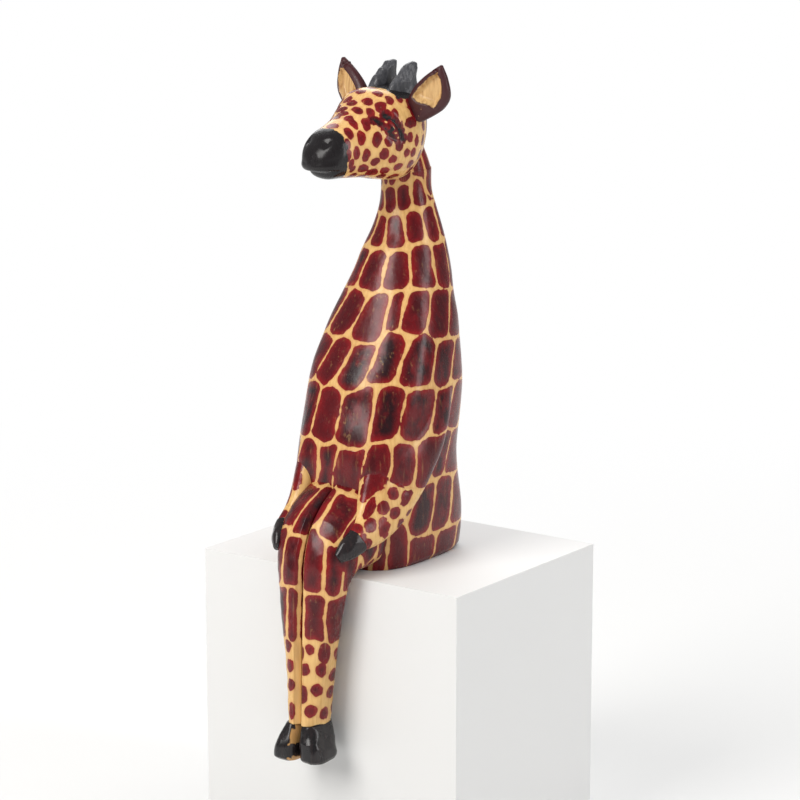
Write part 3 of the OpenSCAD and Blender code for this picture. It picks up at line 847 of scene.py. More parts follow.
@dataclass(frozen=True)
class Dots:
    """Hand-dabbed oval dots: centre place and level, half width, half height and lean in degrees."""

    ovals: tuple[tuple[float, float, float, float, float], ...]
    seed: int
    wobble: float = 0.16
    grow: float = 0.3

    def paint(self, canvas: Canvas) -> tuple[np.ndarray, np.ndarray]:
        """Distance inside the nearest dot: its mean radius times one less the offset over the radius.

        Args:
            canvas: The surface.

        Returns:
            Signed distances and tones between 0 and 1.
        """
        shape = canvas.place.shape
        distance, tone = np.full(shape, FAR_OUT), np.full(shape, PLAIN_TONE)
        slow, quick = lumps(canvas.points, 4.0, self.seed), lumps(canvas.points, 1.9, self.seed + 1)
        hand = self.wobble * (slow + 0.7 * quick)
        rng = np.random.default_rng(self.seed)
        for x, y, half_w, half_h, lean in self.ovals:
            c, s = math.cos(math.radians(lean)), math.sin(math.radians(lean))
            dx, dy = (canvas.place - x) * canvas.place_mm, (canvas.level - y) * canvas.level_mm
            off = np.hypot((c * dx + s * dy) / half_w, (c * dy - s * dx) / half_h)
            sd = math.sqrt(half_w * half_h) * (1 - off) + hand + self.grow
            wins = sd > distance
            distance, tone = np.where(wins, sd, distance), np.where(wins, rng.uniform(), tone)
        return distance, tone


@dataclass(frozen=True)
class Strokes:
    """Brush strokes: polylines of (place, level) knots, each with a half width in millimetres."""

    lines: tuple[tuple[float, tuple[tuple[float, float], ...]], ...]
    seed: int
    wobble: float = 0.16

    def paint(self, canvas: Canvas) -> tuple[np.ndarray, np.ndarray]:
        """Distance inside the nearest stroke: its half width less the distance to its segments.

        Args:
            canvas: The surface.

        Returns:
            Signed distances, and a dark tone.
        """
        place_mm, level_mm = canvas.place_mm, canvas.level_mm
        distance = np.full(canvas.place.shape, FAR_OUT)
        for half, knots in self.lines:
            for (x0, y0), (x1, y1) in zip(knots[:-1], knots[1:]):
                ax, ay = (canvas.place - x0) * place_mm, (canvas.level - y0) * level_mm
                bx, by = (x1 - x0) * place_mm, (y1 - y0) * level_mm
                t = np.clip((ax * bx + ay * by) / (bx * bx + by * by + 1e-6), 0, 1)
                distance = np.maximum(distance, half - np.hypot(ax - t * bx, ay - t * by))
        distance = distance + self.wobble * lumps(canvas.points, 2.2, self.seed)
        return distance, np.zeros(distance.shape)


COURSES = (
    ((-180, -3), (180, -3)),
    ((-180, 11), (0, 9), (20, 9), (30, 12), (38, 15), (48, 18.5), (54, 16), (57, 12), (65, 11), (95, 10.5),
     (120, 10.8), (180, 11)),
    ((-180, 30.5), (-60, 30), (-33, 28), (-8, 28), (5, 27), (22, 26), (30, 30), (38, 31.5), (45, 32.3),
     (52, 31.5), (60, 29.5), (75, 30), (105, 31), (130, 30), (180, 30.5)),
    ((-180, 47.5), (-55, 46.5), (-33, 46.8), (-25, 47.6), (-14, 46), (-3, 47.8), (8, 46), (18, 46.3),
     (28, 48.5), (42, 49.6), (52, 48), (62, 47.9), (70, 49.6), (80, 48.7), (95, 49.5), (120, 47.5),
     (180, 47.5)),
    ((-180, 65.5), (-58, 65), (-40, 66.3), (-30, 67.8), (-18, 66), (-9, 67.6), (4, 65.2), (12, 66),
     (22, 68.8), (42, 69), (55, 67.2), (68, 67), (78, 66.5), (88, 65), (110, 66), (180, 65.5)),
    ((-180, 82.5), (-57, 82.3), (-43, 83.6), (-32, 82.6), (-12, 83.6), (0, 82.4), (15, 82), (25, 82.7),
     (33, 86.9), (50, 85.8), (60, 85), (68, 86), (80, 82.8), (105, 82), (130, 81), (180, 82)),
    ((-180, 99.5), (-57, 98.5), (-40, 99), (-24, 100), (-10, 99.2), (5, 98.8), (20, 99.7), (50, 100.6),
     (85, 100), (110, 98.5), (130, 98), (180, 98.5)),
    ((-180, 114.5), (-50, 113.7), (0, 114), (20, 113.8), (35, 114.5), (48, 115.8), (62, 116.2),
     (75, 115.7), (90, 115.4), (105, 116.3), (130, 116.5), (180, 115)),
    ((-180, 127), (-50, 126), (0, 125.8), (20, 126.5), (35, 127.7), (60, 128.2), (80, 128.7), (100, 130),
     (125, 130), (180, 128)),
    ((-180, 136), (-50, 134), (-25, 135.5), (0, 136), (20, 137), (45, 138), (60, 139.5), (75, 138.5),
     (88, 134), (100, 131.8), (125, 131.5), (180, 134)),
    ((-180, 150), (180, 150)),
)
CUTS = (
    ((-170, -170, -170), (-140, -140, -140), (-110, -110, -110), (-82, -82, -82), (-56, -56, -56),
     (-38, -38, -38), (-26, -26, -26), (0, 0, 0), (25, 25, 26), (37, 37.5, 39), (57, 56, 56),
     (94, 95, 96), (129, 129, 130), (160, 160, 161)),
    ((-160, -160, -158), (-133, -133, -131), (-107, -106, -105), (-82, -81, -80), (-57, -56, -55),
     (-30, -30, -30), (0, 0, 0), (25, 25, 25), (51, 57, 67), (82, 90, 95), (114, 119, 124),
     (145, 147, 149), (172, 173, 175)),
    ((-166, -166, -165), (-138, -138, -138), (-112, -112, -112), (-86, -86, -86), (-62, -62, -62),
     (-44, -43, -43), (-36, -30, -31.5), (-27, -20.5, -20), (-9, -6.5, 1), (13, 20, 25),
     (34, 39.5, 40.5), (52.5, 56, 58.5), (84, 92, 100), (107, 111, 115), (138, 139, 140),
     (166, 167, 168)),
    ((-173, -172, -171), (-145, -144, -143), (-118, -117, -116), (-92, -91, -90), (-70, -69, -67),
     (-49, -47, -45), (-27, -23, -20), (-5, 0.5, 2.5), (24, 27.5, 30), (44, 48, 53), (71, 78, 83),
     (99, 104, 110), (128, 131, 134), (157, 159, 161)),
    ((-165, -165, -165), (-138, -138, -137), (-112, -111, -110), (-86, -84, -83), (-60, -58, -56),
     (-34, -28, -25), (-10, -3, 1), (17.5, 24, 26.5), (44, 48, 55.5), (76, 80, 83), (103, 107, 114),
     (132, 136, 141), (162, 165, 168)),
    ((-168, -166, -163), (-139, -137, -135), (-110, -108, -106), (-79, -76, -73), (-47, -40, -32),
     (-12, -5, 1.5), (28.5, 28.5, 29.5), (43, 44.5, 46), (69, 73.5, 74), (99, 104, 111),
     (130, 133, 138), (160, 163, 166)),
    ((-157, -157, -156), (-128, -128, -128), (-101, -100, -100), (-75, -74, -73), (-50, -48, -46),
     (-22, -20.5, -15.5), (15, 12.5, 14), (48, 43.5, 41), (84, 76, 74), (112, 110, 106),
     (143, 142, 140), (172, 172, 172)),
    ((-155, -155, -155), (-122, -122, -122), (-92, -92, -92), (-62, -61, -60), (-31, -30, -30),
     (4, -1, -5), (38, 31, 27), (68, 65, 62), (101, 100, 97), (135, 135, 134), (170, 170, 170)),
    ((-165, -165, -163), (-130, -130, -128), (-93, -92, -92), (-55, -56, -58), (-17, -20, -26),
     (15, 13, 11), (47, 46, 46), (86, 85, 76), (124, 124, 121), (160, 158, 157)),
    ((-170, -170, -170), (-135, -135, -135), (-100, -100, -100), (-65, -65, -65), (-30, -30, -30),
     (-9, -9, -9), (15, 15, 15), (47, 47, 47), (85, 85, 85), (120, 120, 120), (155, 155, 155)),
)
BODY_PATCHES = PatchWork(laid(COURSES, CUTS), seed=11, period=360.0)

# Levels on a leg are its keys; places are millimetres round it from the middle of the inner wall.
LEFT_LEG_PATCHES = PatchWork(laid(
    (
        ((0, -0.6), (50, -0.6)),
        ((0, 0.6), (12, 0.6), (17, 0.85), (23, 0.95), (30, 0.6), (50, 0.6)),
        ((0, 2.3), (14, 2.2), (16, 2.4), (22, 2.5), (27, 2.2), (50, 2.0)),
        ((0, 4.1), (12, 4.05), (16, 4.05), (20, 4.15), (26, 4.0), (50, 4.0)),
        ((0, 5.4), (9, 5.45), (13, 5.4), (18, 5.55), (27, 5.5), (50, 5.5)),
    ), (
        ((2, 2, 2), (15.5, 15.5, 15), (23.6, 23.6, 23.8), (31, 31, 31), (42, 42, 42), (56, 56, 56)),
        ((11, 10, 9), (18.9, 17.2, 14.4), (29.3, 28.2, 23.6), (38, 37, 34), (50, 49, 48)),
        ((10.6, 9.4, 8.0), (19, 17.8, 16), (25.8, 25.5, 23), (36, 35, 33), (46, 45, 43)),
        ((5.4, 5.4, 5.4), (8.4, 8.6, 8.3), (17.6, 16.6, 17.4), (28.5, 28.5, 28), (38, 37, 36)),
    )), seed=23, line=1.1, corner=2.2, wobble=0.16)
RIGHT_LEG_PATCHES = PatchWork(laid(
    (
        ((0, -0.6), (50, -0.6)),
        ((0, 0.5), (13, 0.5), (16, 0.8), (19, 0.9), (28, 0.4), (50, 0.4)),
        ((0, 2.3), (12, 2.5), (17, 2.5), (18, 2.3), (30, 2.1), (50, 2.1)),
        ((0, 4.0), (11, 3.95), (15, 4.0), (24, 4.1), (50, 4.1)),
        ((0, 5.5), (9, 5.55), (14, 5.5), (24, 5.45), (50, 5.45)),
    ), (
        ((2, 2, 2), (15.8, 15.8, 16), (24, 24, 24), (32, 32, 32), (42, 42, 42), (56, 56, 56)),
        ((8.5, 8.5, 8.0), (16.7, 16.7, 16.7), (28.5, 28.5, 27), (39, 38, 36), (50, 49, 48)),
        ((9.4, 8.0, 6.6), (18, 16.4, 15.4), (26, 25, 24), (35, 34, 33), (45, 44, 43)),
        ((6.4, 6.4, 6.4), (11.7, 11.7, 11.6), (20.5, 20.5, 20), (29, 29, 28), (38, 37, 36)),
    )), seed=37, line=1.1, corner=2.2, wobble=0.16)
LEFT_LEG_DOTS = Dots((
    (24.8, 2.86, 3.6, 2.6, 0), (11, 5.64, 1.5, 1.7, 0), (16.6, 5.74, 2.3, 3.8, 0), (24, 5.86, 2.6, 2.2, 8),
    (7.2, 5.78, 1.4, 3.2, 0), (9, 6.18, 1.9, 2.1, 0), (15.2, 6.18, 2.0, 2.4, 0), (21.6, 6.42, 2.7, 2.2, 10),
    (7.9, 6.84, 2.0, 3.3, 0), (13.4, 6.72, 2.1, 2.2, 0), (20, 6.86, 2.4, 2.2, 0), (11.3, 7.38, 2.2, 2.2, 0),
    (16.9, 7.56, 2.3, 2.3, 20), (29, 6.1, 2.2, 2.4, 0), (27, 6.9, 2.1, 2.3, 0), (23.5, 7.45, 2.2, 2.2, 0),
    (30, 7.6, 2.0, 2.1, 0), (32, 6.6, 1.8, 2.2, 0), (3, 6.3, 1.7, 2.3, 0), (3.5, 7.3, 1.6, 2.0, 0),
), seed=41)
RIGHT_LEG_DOTS = Dots((
    (11.2, 5.66, 1.8, 2.0, 0), (17.4, 5.75, 2.1, 2.6, 0), (23.8, 5.8, 2.2, 2.4, 0), (10, 6.16, 1.9, 2.2, 0),
    (16.8, 6.26, 2.1, 2.3, 0), (23, 6.4, 2.2, 2.3, 0), (9.3, 6.66, 1.7, 2.0, 0), (15.9, 6.82, 2.1, 2.3, 0),
    (22, 6.95, 2.1, 2.3, 0), (8.6, 7.5, 1.5, 3.0, 0), (14.6, 7.42, 2.1, 2.2, 0), (20.6, 7.5, 2.1, 2.2, 0),
    (29, 6.0, 2.1, 2.4, 0), (28, 6.8, 2.0, 2.3, 0), (27, 7.6, 2.0, 2.2, 0), (33, 6.4, 1.8, 2.2, 0),
), seed=43)

# Places on a foreleg are degrees round it from straight out; levels are its keys.
FORELEG_DOTS = Dots((
    (4, 3.84, 4.6, 1.5, 0), (-8, 4.36, 2.5, 2.0, 0), (-20, 5.1, 2.4, 2.4, 0), (-26, 6.25, 2.4, 2.8, 0),
    (47, 4.18, 2.0, 3.8, 0), (40, 4.98, 1.9, 2.2, 12), (42, 5.78, 2.1, 2.7, 0), (60, 5.92, 1.2, 1.2, 0),
    (74, 4.66, 1.2, 1.4, 0), (72, 5.1, 1.7, 1.6, 0), (-58, 5.5, 1.6, 3.9, 0), (-62, 6.85, 2.2, 1.6, 0),
    (44, 6.9, 2.2, 1.5, 0), (-4, 6.98, 1.6, 1.3, 0), (12, 5.6, 1.5, 1.7, 0), (110, 4.4, 1.9, 2.4, 0),
    (112, 5.4, 1.9, 2.4, 0), (150, 4.8, 1.9, 2.4, 0), (-120, 4.5, 1.9, 2.4, 0), (-150, 5.6, 1.9, 2.4, 0),
), seed=53)
ELBOW_FACET = Strokes(((3.7, ((-66, 3.3), (-66, 4.0), (-68, 4.25))), (2.6, ((-68, 4.3), (-76, 4.85))),
                       (1.5, ((-77, 4.9), (-79, 5.25)))), seed=57)

# Places on the head are degrees from straight up; levels are distances ahead of the neck's centre.
CHEEK_OVALS = (
    (39, 18, 1.9, 1.5, 0), (56, 18.4, 1.5, 1.2, 0), (21, 19.5, 2.2, 1.35, 0), (20, 23.4, 2.3, 1.4, 0),
    (41, 22.1, 2.1, 1.9, 0), (39, 25.2, 2.2, 1.3, 0), (49.5, 27.9, 2.2, 1.4, 0), (19, 27, 2.9, 1.15, 0),
    (35, 31, 2.3, 1.2, 0), (17, 30.5, 2.2, 1.2, 0), (47, 34.3, 2.3, 1.3, 0), (68, 30.8, 2.4, 1.5, 0),
    (81, 25.6, 2.4, 1.7, 0), (99, 17.3, 1.8, 1.7, 0), (90, 12, 1.6, 1.35, 0), (97, 8.2, 1.7, 1.2, 0),
    (112, 9.6, 1.5, 1.3, 0), (110, 13.2, 1.35, 1.4, 0), (106, 22.9, 2.0, 1.6, 0), (117.5, 25.6, 1.5, 1.7, 0),
    (139, 25, 2.3, 2.0, 0), (102.5, 29.2, 2.3, 1.4, 0), (128, 29.3, 1.6, 2.1, 20), (92, 33.1, 2.2, 1.2, 0),
    (112, 34.7, 2.0, 1.0, 0), (126, 33.6, 1.3, 1.0, 0), (68, 36.4, 1.9, 1.1, 0), (91, 36.3, 1.9, 1.0, 0),
    (115, 19.4, 1.5, 1.6, 0), (127, 16.2, 1.4, 1.8, 0), (132, 21, 1.5, 1.5, 0), (147, 15, 2.0, 2.1, 0),
    (146, 20.3, 1.8, 1.5, 0), (155, 27, 2.0, 1.7, 0), (148, 31.5, 1.8, 1.4, 0), (166, 22.5, 1.8, 1.7, 0),
    (84, 16.3, 1.7, 1.2, 0), (88, 21.6, 2.0, 1.5, 0), (71, 11.4, 1.8, 3.2, 0), (128, 9.8, 1.6, 1.7, 0),
    (142, 7.5, 1.7, 1.6, 0), (58, 1.2, 1.7, 1.6, 0), (80, 2.6, 1.7, 1.7, 0), (103, 3.2, 1.7, 1.6, 0),
    (124, 4.4, 1.6, 1.5, 0), (36, 2.6, 1.6, 1.6, 0), (22, -1.8, 1.6, 1.5, 0), (70, -2.4, 1.6, 1.3, 0),
    (100, -2.0, 1.6, 1.4, 0), (130, -1.6, 1.6, 1.4, 0), (38, 9.0, 1.4, 1.5, 0), (40, 13.6, 1.5, 1.4, 0),
    (174, 30, 1.7, 1.5, 0), (162, 34.2, 1.6, 1.1, 0),
)
MIDLINE_OVALS = ((-5, 20.8, 2.2, 1.15, 0), (-5, 25.2, 2.5, 1.3, 0), (-7, 29.2, 2.7, 1.2, 0),
                 (3, 35.9, 2.8, 1.5, 0), (0, 16.6, 2.0, 1.2, 0), (-2, -3.6, 1.6, 1.4, 0))
HEAD_DOTS = Dots(CHEEK_OVALS + tuple((-x, y + 0.3, w, h, -t) for x, y, w, h, t in CHEEK_OVALS)
                 + MIDLINE_OVALS, seed=61)
LID_STROKES = Strokes(tuple(
    stroke for s in (1, -1) for stroke in (
        (1.65, ((s * 57, 21.1), (s * 66, 18.9), (s * 78, 17.1), (s * 91, 15.7))),
        (1.35, ((s * 48, 25.7), (s * 58, 24.2), (s * 68, 22.6), (s * 79, 20.9), (s * 88, 19.2))),
        (1.60, ((s * 52, 22.2), (s * 56, 22.4))),
        (0.45, ((s * 66, 21.6), (s * 82, 18.9))),
    )), seed=66, wobble=0.42)
EYE_STROKES = Strokes(tuple(
    stroke for s in (1, -1) for stroke in (
        (0.50, ((s * 59, 20.8), (s * 67, 18.8), (s * 78, 17.1), (s * 89, 16.0))),
        (0.38, ((s * 52, 25.3), (s * 66, 23.1), (s * 84, 20.2))),
        (0.62, ((s * 68, 21.2), (s * 73, 20.3))),
        (0.34, ((s * 56, 22.2), (s * 62, 21.4))),
    )), seed=67, wobble=0.62)


# ---- Materials: shared effects, as node groups ---------------------------------------------------------


class Sheet:
    """A small helper that lays nodes in a tree and wires plain values or sockets into them."""

    def __init__(self, tree: bpy.types.NodeTree) -> None:
        """Keeps the tree and how many nodes it holds, for their places on the sheet."""
        self.tree = tree
        self.count = 0

    def node(self, kind: str, inputs: dict | None = None, **settings) -> bpy.types.Node:
        """Adds a node.

        Args:
            kind: The node's type name.
            inputs: Sockets by name or number, each given a socket to wire or a plain value.
            settings: Properties of the node.

        Returns:
            The node.
        """
        made = self.tree.nodes.new(kind)
        made.location = (220 * (self.count % 8), -240 * (self.count // 8))
        self.count += 1
        for key, value in settings.items():
            setattr(made, key, value)
        for key, value in (inputs or {}).items():
            self.put(made.inputs[key], value)
        return made

    def put(self, socket: bpy.types.NodeSocket, value: object) -> None:
        """Wires a socket in, or sets a plain value.

        Args:
            socket: The input to feed.
            value: A socket, or a plain value; a colour may leave out its alpha.
        """
        if isinstance(value, bpy.types.NodeSocket):
            self.tree.links.new(value, socket)
        elif socket.type == "RGBA" and len(value) == 3:
            socket.default_value = (*value, 1.0)
        else:
            socket.default_value = value

    def math(self, operation: str, a: object, b: object = 0.0, clamp: bool = False) -> bpy.types.NodeSocket:
        """One sum on two values."""
        return self.node("ShaderNodeMath", {0: a, 1: b}, operation=operation, use_clamp=clamp).outputs[0]

    def add(self, a: object, b: object) -> bpy.types.NodeSocket:
        """Two values added."""
        return self.math("ADD", a, b)

    def times(self, a: object, b: object) -> bpy.types.NodeSocket:
        """Two values multiplied."""
        return self.math("MULTIPLY", a, b)

    def mix(self, share: object, a: object, b: object) -> bpy.types.NodeSocket:
        """A colour between two colours.

        Args:
            share: How much of the second colour.
            a: The first colour.
            b: The second colour.

        Returns:
            The mixed colour.
        """
        made = self.node("ShaderNodeMix", data_type="RGBA")
        self.put(made.inputs[0], share)
        self.put(made.inputs[6], a)
        self.put(made.inputs[7], b)
        return made.outputs[2]

    def ramp(self, value: object, low: float, high: float, to_low: float = 0.0,
             to_high: float = 1.0) -> bpy.types.NodeSocket:
        """A value moved smoothly from one range to another and held at its ends.

        Args:
            value: The value.
            low: Where the first range starts.
            high: Where the first range ends.
            to_low: The result at its start.
            to_high: The result at its end.

        Returns:
            The moved value.
        """
        made = self.node("ShaderNodeMapRange", {0: value, 1: low, 2: high, 3: to_low, 4: to_high},
                         interpolation_type="SMOOTHSTEP")
        return made.outputs[0]

    def noise(self, scale: float, detail: float = 3.0, stretch: Triple = (1, 1, 1),
              shift: float = 0.0) -> bpy.types.NodeSocket:
        """Noise over the object's own coordinates, stretched along an axis.

        Args:
            scale: Waves for each metre.
            detail: How many finer layers it has.
            stretch: Scale along each axis; less than one draws it out.
            shift: Moves it, so that two noises differ.

        Returns:
            The noise, from 0 to 1.
        """
        where = self.node("ShaderNodeTexCoord").outputs["Object"]
        placed = self.node("ShaderNodeMapping", {0: where, 1: (shift, shift, shift), 3: stretch}).outputs[0]
        return self.node("ShaderNodeTexNoise", {"Vector": placed, "Scale": scale, "Detail": detail,
                                                "Roughness": 0.55}).outputs["Fac"]

    def mark(self, name: str) -> bpy.types.NodeSocket:
        """A value stored on the mesh's vertices."""
        return self.node("ShaderNodeAttribute", attribute_name=name).outputs["Fac"]


def node_group(name: str, inputs: tuple[tuple[str, str, object], ...],
               outputs: tuple[tuple[str, str], ...]) -> tuple[Sheet, dict, bpy.types.Node]:
    """Starts a shader node group.

    Args:
        name: The group's name.
        inputs: Name, socket type and default of each input.
        outputs: Name and socket type of each output.

    Returns:
        A sheet to lay nodes on, the inputs by name, and the output node.
    """
    tree = bpy.data.node_groups.new(name, "ShaderNodeTree")
    for label, kind, default in inputs:
        socket = tree.interface.new_socket(name=label, in_out="INPUT", socket_type=kind)
        socket.default_value = (*default, 1.0) if kind == "NodeSocketColor" else default
    for label, kind in outputs:
        tree.interface.new_socket(name=label, in_out="OUTPUT", socket_type=kind)
    sheet = Sheet(tree)
    source = sheet.node("NodeGroupInput")
    return sheet, {label: source.outputs[label] for label, _, _ in inputs}, sheet.node("NodeGroupOutput")


NUMBER, COLOUR = "NodeSocketFloat", "NodeSocketColor"


def make_wood_grain() -> bpy.types.NodeTree:
    """Pale wood with upright grain: soft streaks, fine dark pores and slow blotches."""
    sheet, given, out = node_group(
        "wood grain", (("Pale", COLOUR, (0.8, 0.6, 0.3)), ("Deep", COLOUR, (0.5, 0.3, 0.1)),
                       ("Strength", NUMBER, 1.0)), (("Color", COLOUR), ("Height", NUMBER)))
    streak = sheet.noise(900, 4, (1, 1, 0.045))
    pores = sheet.noise(2600, 2, (1, 1, 0.05), 3.1)
    blotch = sheet.noise(55, 3, (1, 1, 0.6), 7.7)
    amount = sheet.add(sheet.ramp(streak, 0.40, 0.70), sheet.ramp(blotch, 0.35, 0.75, 0.0, 0.6))
    amount = sheet.times(amount, given["Strength"])
    amount = sheet.math("ADD", amount, sheet.ramp(pores, 0.62, 0.74, 0.0, 0.35), clamp=True)
    sheet.put(out.inputs["Color"], sheet.mix(amount, given["Pale"], given["Deep"]))
    sheet.put(out.inputs["Height"], sheet.math("SUBTRACT", streak, sheet.ramp(pores, 0.6, 0.75, 0.0, 0.5)))
    return sheet.tree


def make_hand_work() -> bpy.types.NodeTree:
    """Knife flats and brush unevenness, as a height in millimetres, and dull patches for roughness."""
    sheet, given, out = node_group("hand work", (("Amount", NUMBER, 1.0),),
                                   (("Height", NUMBER), ("Dullness", NUMBER)))
    where = sheet.node("ShaderNodeTexCoord").outputs["Object"]
    placed = sheet.node("ShaderNodeMapping", {0: where, 3: (1, 1, 0.55)}).outputs[0]
    flats = sheet.node("ShaderNodeTexVoronoi", {"Vector": placed, "Scale": 120.0, "Smoothness": 0.55},
                       feature="SMOOTH_F1").outputs["Distance"]
    swell = sheet.noise(70, 2, (1, 1, 0.7), 1.3)
    skin = sheet.noise(420, 3, (1, 1, 0.5), 4.1)
    specks = sheet.noise(1500, 2, (1, 1, 1), 9.2)
    height = sheet.times(flats, 0.16)
    height = sheet.add(height, sheet.times(swell, 0.75))
    height = sheet.add(height, sheet.times(skin, 0.10))
    height = sheet.add(height, sheet.times(specks, 0.012))
    sheet.put(out.inputs["Height"], sheet.times(height, given["Amount"]))
    sheet.put(out.inputs["Dullness"], sheet.ramp(skin, 0.35, 0.75))
    return sheet.tree


def make_rubbed() -> bpy.types.NodeTree:
    """Where the surface is rubbed or chipped: sparse small flecks, for a colour mask."""
    sheet, given, out = node_group("rubbed", (("Amount", NUMBER, 0.3),), (("Mask", NUMBER),))
    flecks = sheet.noise(620, 4, (1, 1, 0.6), 5.5)
    zones = sheet.noise(45, 2, (1, 1, 1), 2.4)
    both = sheet.times(sheet.ramp(flecks, 0.63, 0.68), sheet.ramp(zones, 0.5, 0.62))
    sheet.put(out.inputs["Mask"], sheet.math("MULTIPLY", both, given["Amount"], clamp=True))
    return sheet.tree


@dataclass
class Groups:
    """The effects that several materials share, each made once."""

    grain: bpy.types.NodeTree = field(default_factory=make_wood_grain)
    hand: bpy.types.NodeTree = field(default_factory=make_hand_work)
    rubbed: bpy.types.NodeTree = field(default_factory=make_rubbed)

    def use(self, sheet: Sheet, group: bpy.types.NodeTree, **values: object) -> bpy.types.Node:
        """Lays one of the groups on a material's sheet, with its inputs.

        Args:
            sheet: The material's sheet.
            group: The group.
            values: Its inputs by name.

        Returns:
            The group's node.
        """
        made = sheet.node("ShaderNodeGroup", node_tree=group)
        for name, value in values.items():
            sheet.put(made.inputs[name], value)
        return made


# ---- Finishes ------------------------------------------------------------------------------------------


@dataclass(frozen=True)
class Finish:
    """A finish: its wood colours and how the surface shines."""

    name: str
    pale: Triple
    deep: Triple
    grain: float = 0.6
    relief: float = 1.0
    gloss: float = 0.30
    dullness: float = 0.16
    coat: float = 0.0
    grain_depth: float = 0.03
    specular: float = 0.36

    def start(self) -> tuple[bpy.types.Material, Sheet, bpy.types.Node]:
        """A new material with an empty sheet and its Principled shader.

        Returns:
            The material, its sheet and the shader node.
        """
        material = bpy.data.materials.new(self.name)
        material.use_nodes = True
        material.node_tree.nodes.clear()
        sheet = Sheet(material.node_tree)
        shader = sheet.node("ShaderNodeBsdfPrincipled")
        out = sheet.node("ShaderNodeOutputMaterial")
        sheet.put(out.inputs[0], shader.outputs[0])
        material.diffuse_color = (*self.pale, 1.0)
        return material, sheet, shader

    def surface(self, sheet: Sheet, shader: bpy.types.Node, groups: Groups,
                extra: bpy.types.NodeSocket | None = None, roughness: object = None) -> None:
        """Wires roughness, lacquer coat and relief.

        Args:
            sheet: The material's sheet.
            shader: The Principled shader.
            groups: The shared effects.
            extra: More height in millimetres to add to the relief.
            roughness: A value in place of the finish's gloss.
        """
        hand = groups.use(sheet, groups.hand, Amount=self.relief)
        rough = self.gloss if roughness is None else roughness
        rough = sheet.add(rough, sheet.times(hand.outputs["Dullness"], self.dullness))
        sheet.put(shader.inputs["Roughness"], rough)
        shader.inputs["Coat Weight"].default_value = self.coat
        shader.inputs["Coat Roughness"].default_value = 0.12
        shader.inputs["Specular IOR Level"].default_value = self.specular
        height = hand.outputs["Height"]
        if extra is not None:
            height = sheet.add(height, extra)
        bump = sheet.node("ShaderNodeBump", {"Height": height, "Distance": MM, "Strength": 1.0})
        sheet.put(shader.inputs["Normal"], bump.outputs[0])
        sheet.put(shader.inputs["Coat Normal"], bump.outputs[0])


@dataclass(frozen=True)
class CoatPaint(Finish):
    """The painted coat: dyed patches and black on pale wood, under gloss lacquer."""

    red: Triple = (0.128, 0.005, 0.008)
    bright: Triple = (0.30, 0.011, 0.011)
    dark: Triple = (0.018, 0.004, 0.006)
    ink: Triple = (0.012, 0.010, 0.011)

    def make(self, groups: Groups) -> bpy.types.Material:
        """The material, which reads the dye, tone and black marks of its mesh.

        Args:
            groups: The shared effects.

        Returns:
            The material.
        """
        material, sheet, shader = self.start()
        wood = groups.use(sheet, groups.grain, Pale=self.pale, Deep=self.deep, Strength=self.grain)
        ragged = sheet.times(sheet.math("SUBTRACT", sheet.noise(1100, 3), 0.5), 0.38)
        dye = sheet.add(sheet.mark("dye"), ragged)
        black = sheet.add(sheet.mark("black"), ragged)
        inside = sheet.ramp(dye, -0.08, 0.16)
        blot = sheet.noise(190, 3, (1, 1, 0.6), 6.3)
        deep = sheet.times(sheet.ramp(dye, 0.3, 3.6), sheet.ramp(blot, 0.34, 0.58))
        deep = sheet.times(deep, sheet.ramp(sheet.mark("tone"), 0.0, 0.9, 0.35, 1.0))
        edge = sheet.times(sheet.ramp(dye, 2.4, 0.15), sheet.ramp(blot, 0.62, 0.34, 0.15, 1.0))
        colour = sheet.mix(sheet.times(edge, 0.6), self.red, self.bright)
        colour = sheet.mix(deep, colour, self.dark)
        thin = sheet.ramp(sheet.noise(700, 3, (1, 1, 0.12), 8.1), 0.58, 0.80, 0.0, 0.16)
        colour = sheet.mix(thin, colour, wood.outputs["Color"])
        halo = sheet.times(sheet.ramp(dye, -0.9, 0.0), 0.28)
        base = sheet.mix(halo, wood.outputs["Color"], (0.50, 0.14, 0.045))
        colour = sheet.mix(inside, base, colour)
        colour = sheet.mix(sheet.ramp(black, -0.1, 0.25), colour, self.ink)
        rubbed = groups.use(sheet, groups.rubbed, Amount=0.16)
        bare = sheet.times(rubbed.outputs["Mask"], sheet.ramp(black, 0.0, -0.5))
        colour = sheet.mix(bare, colour, self.pale)
        sheet.put(shader.inputs["Base Color"], colour)
        film = sheet.times(inside, 0.05)
        fibre = sheet.times(wood.outputs["Height"], self.grain_depth)
        self.surface(sheet, shader, groups, sheet.add(film, fibre))
        return material


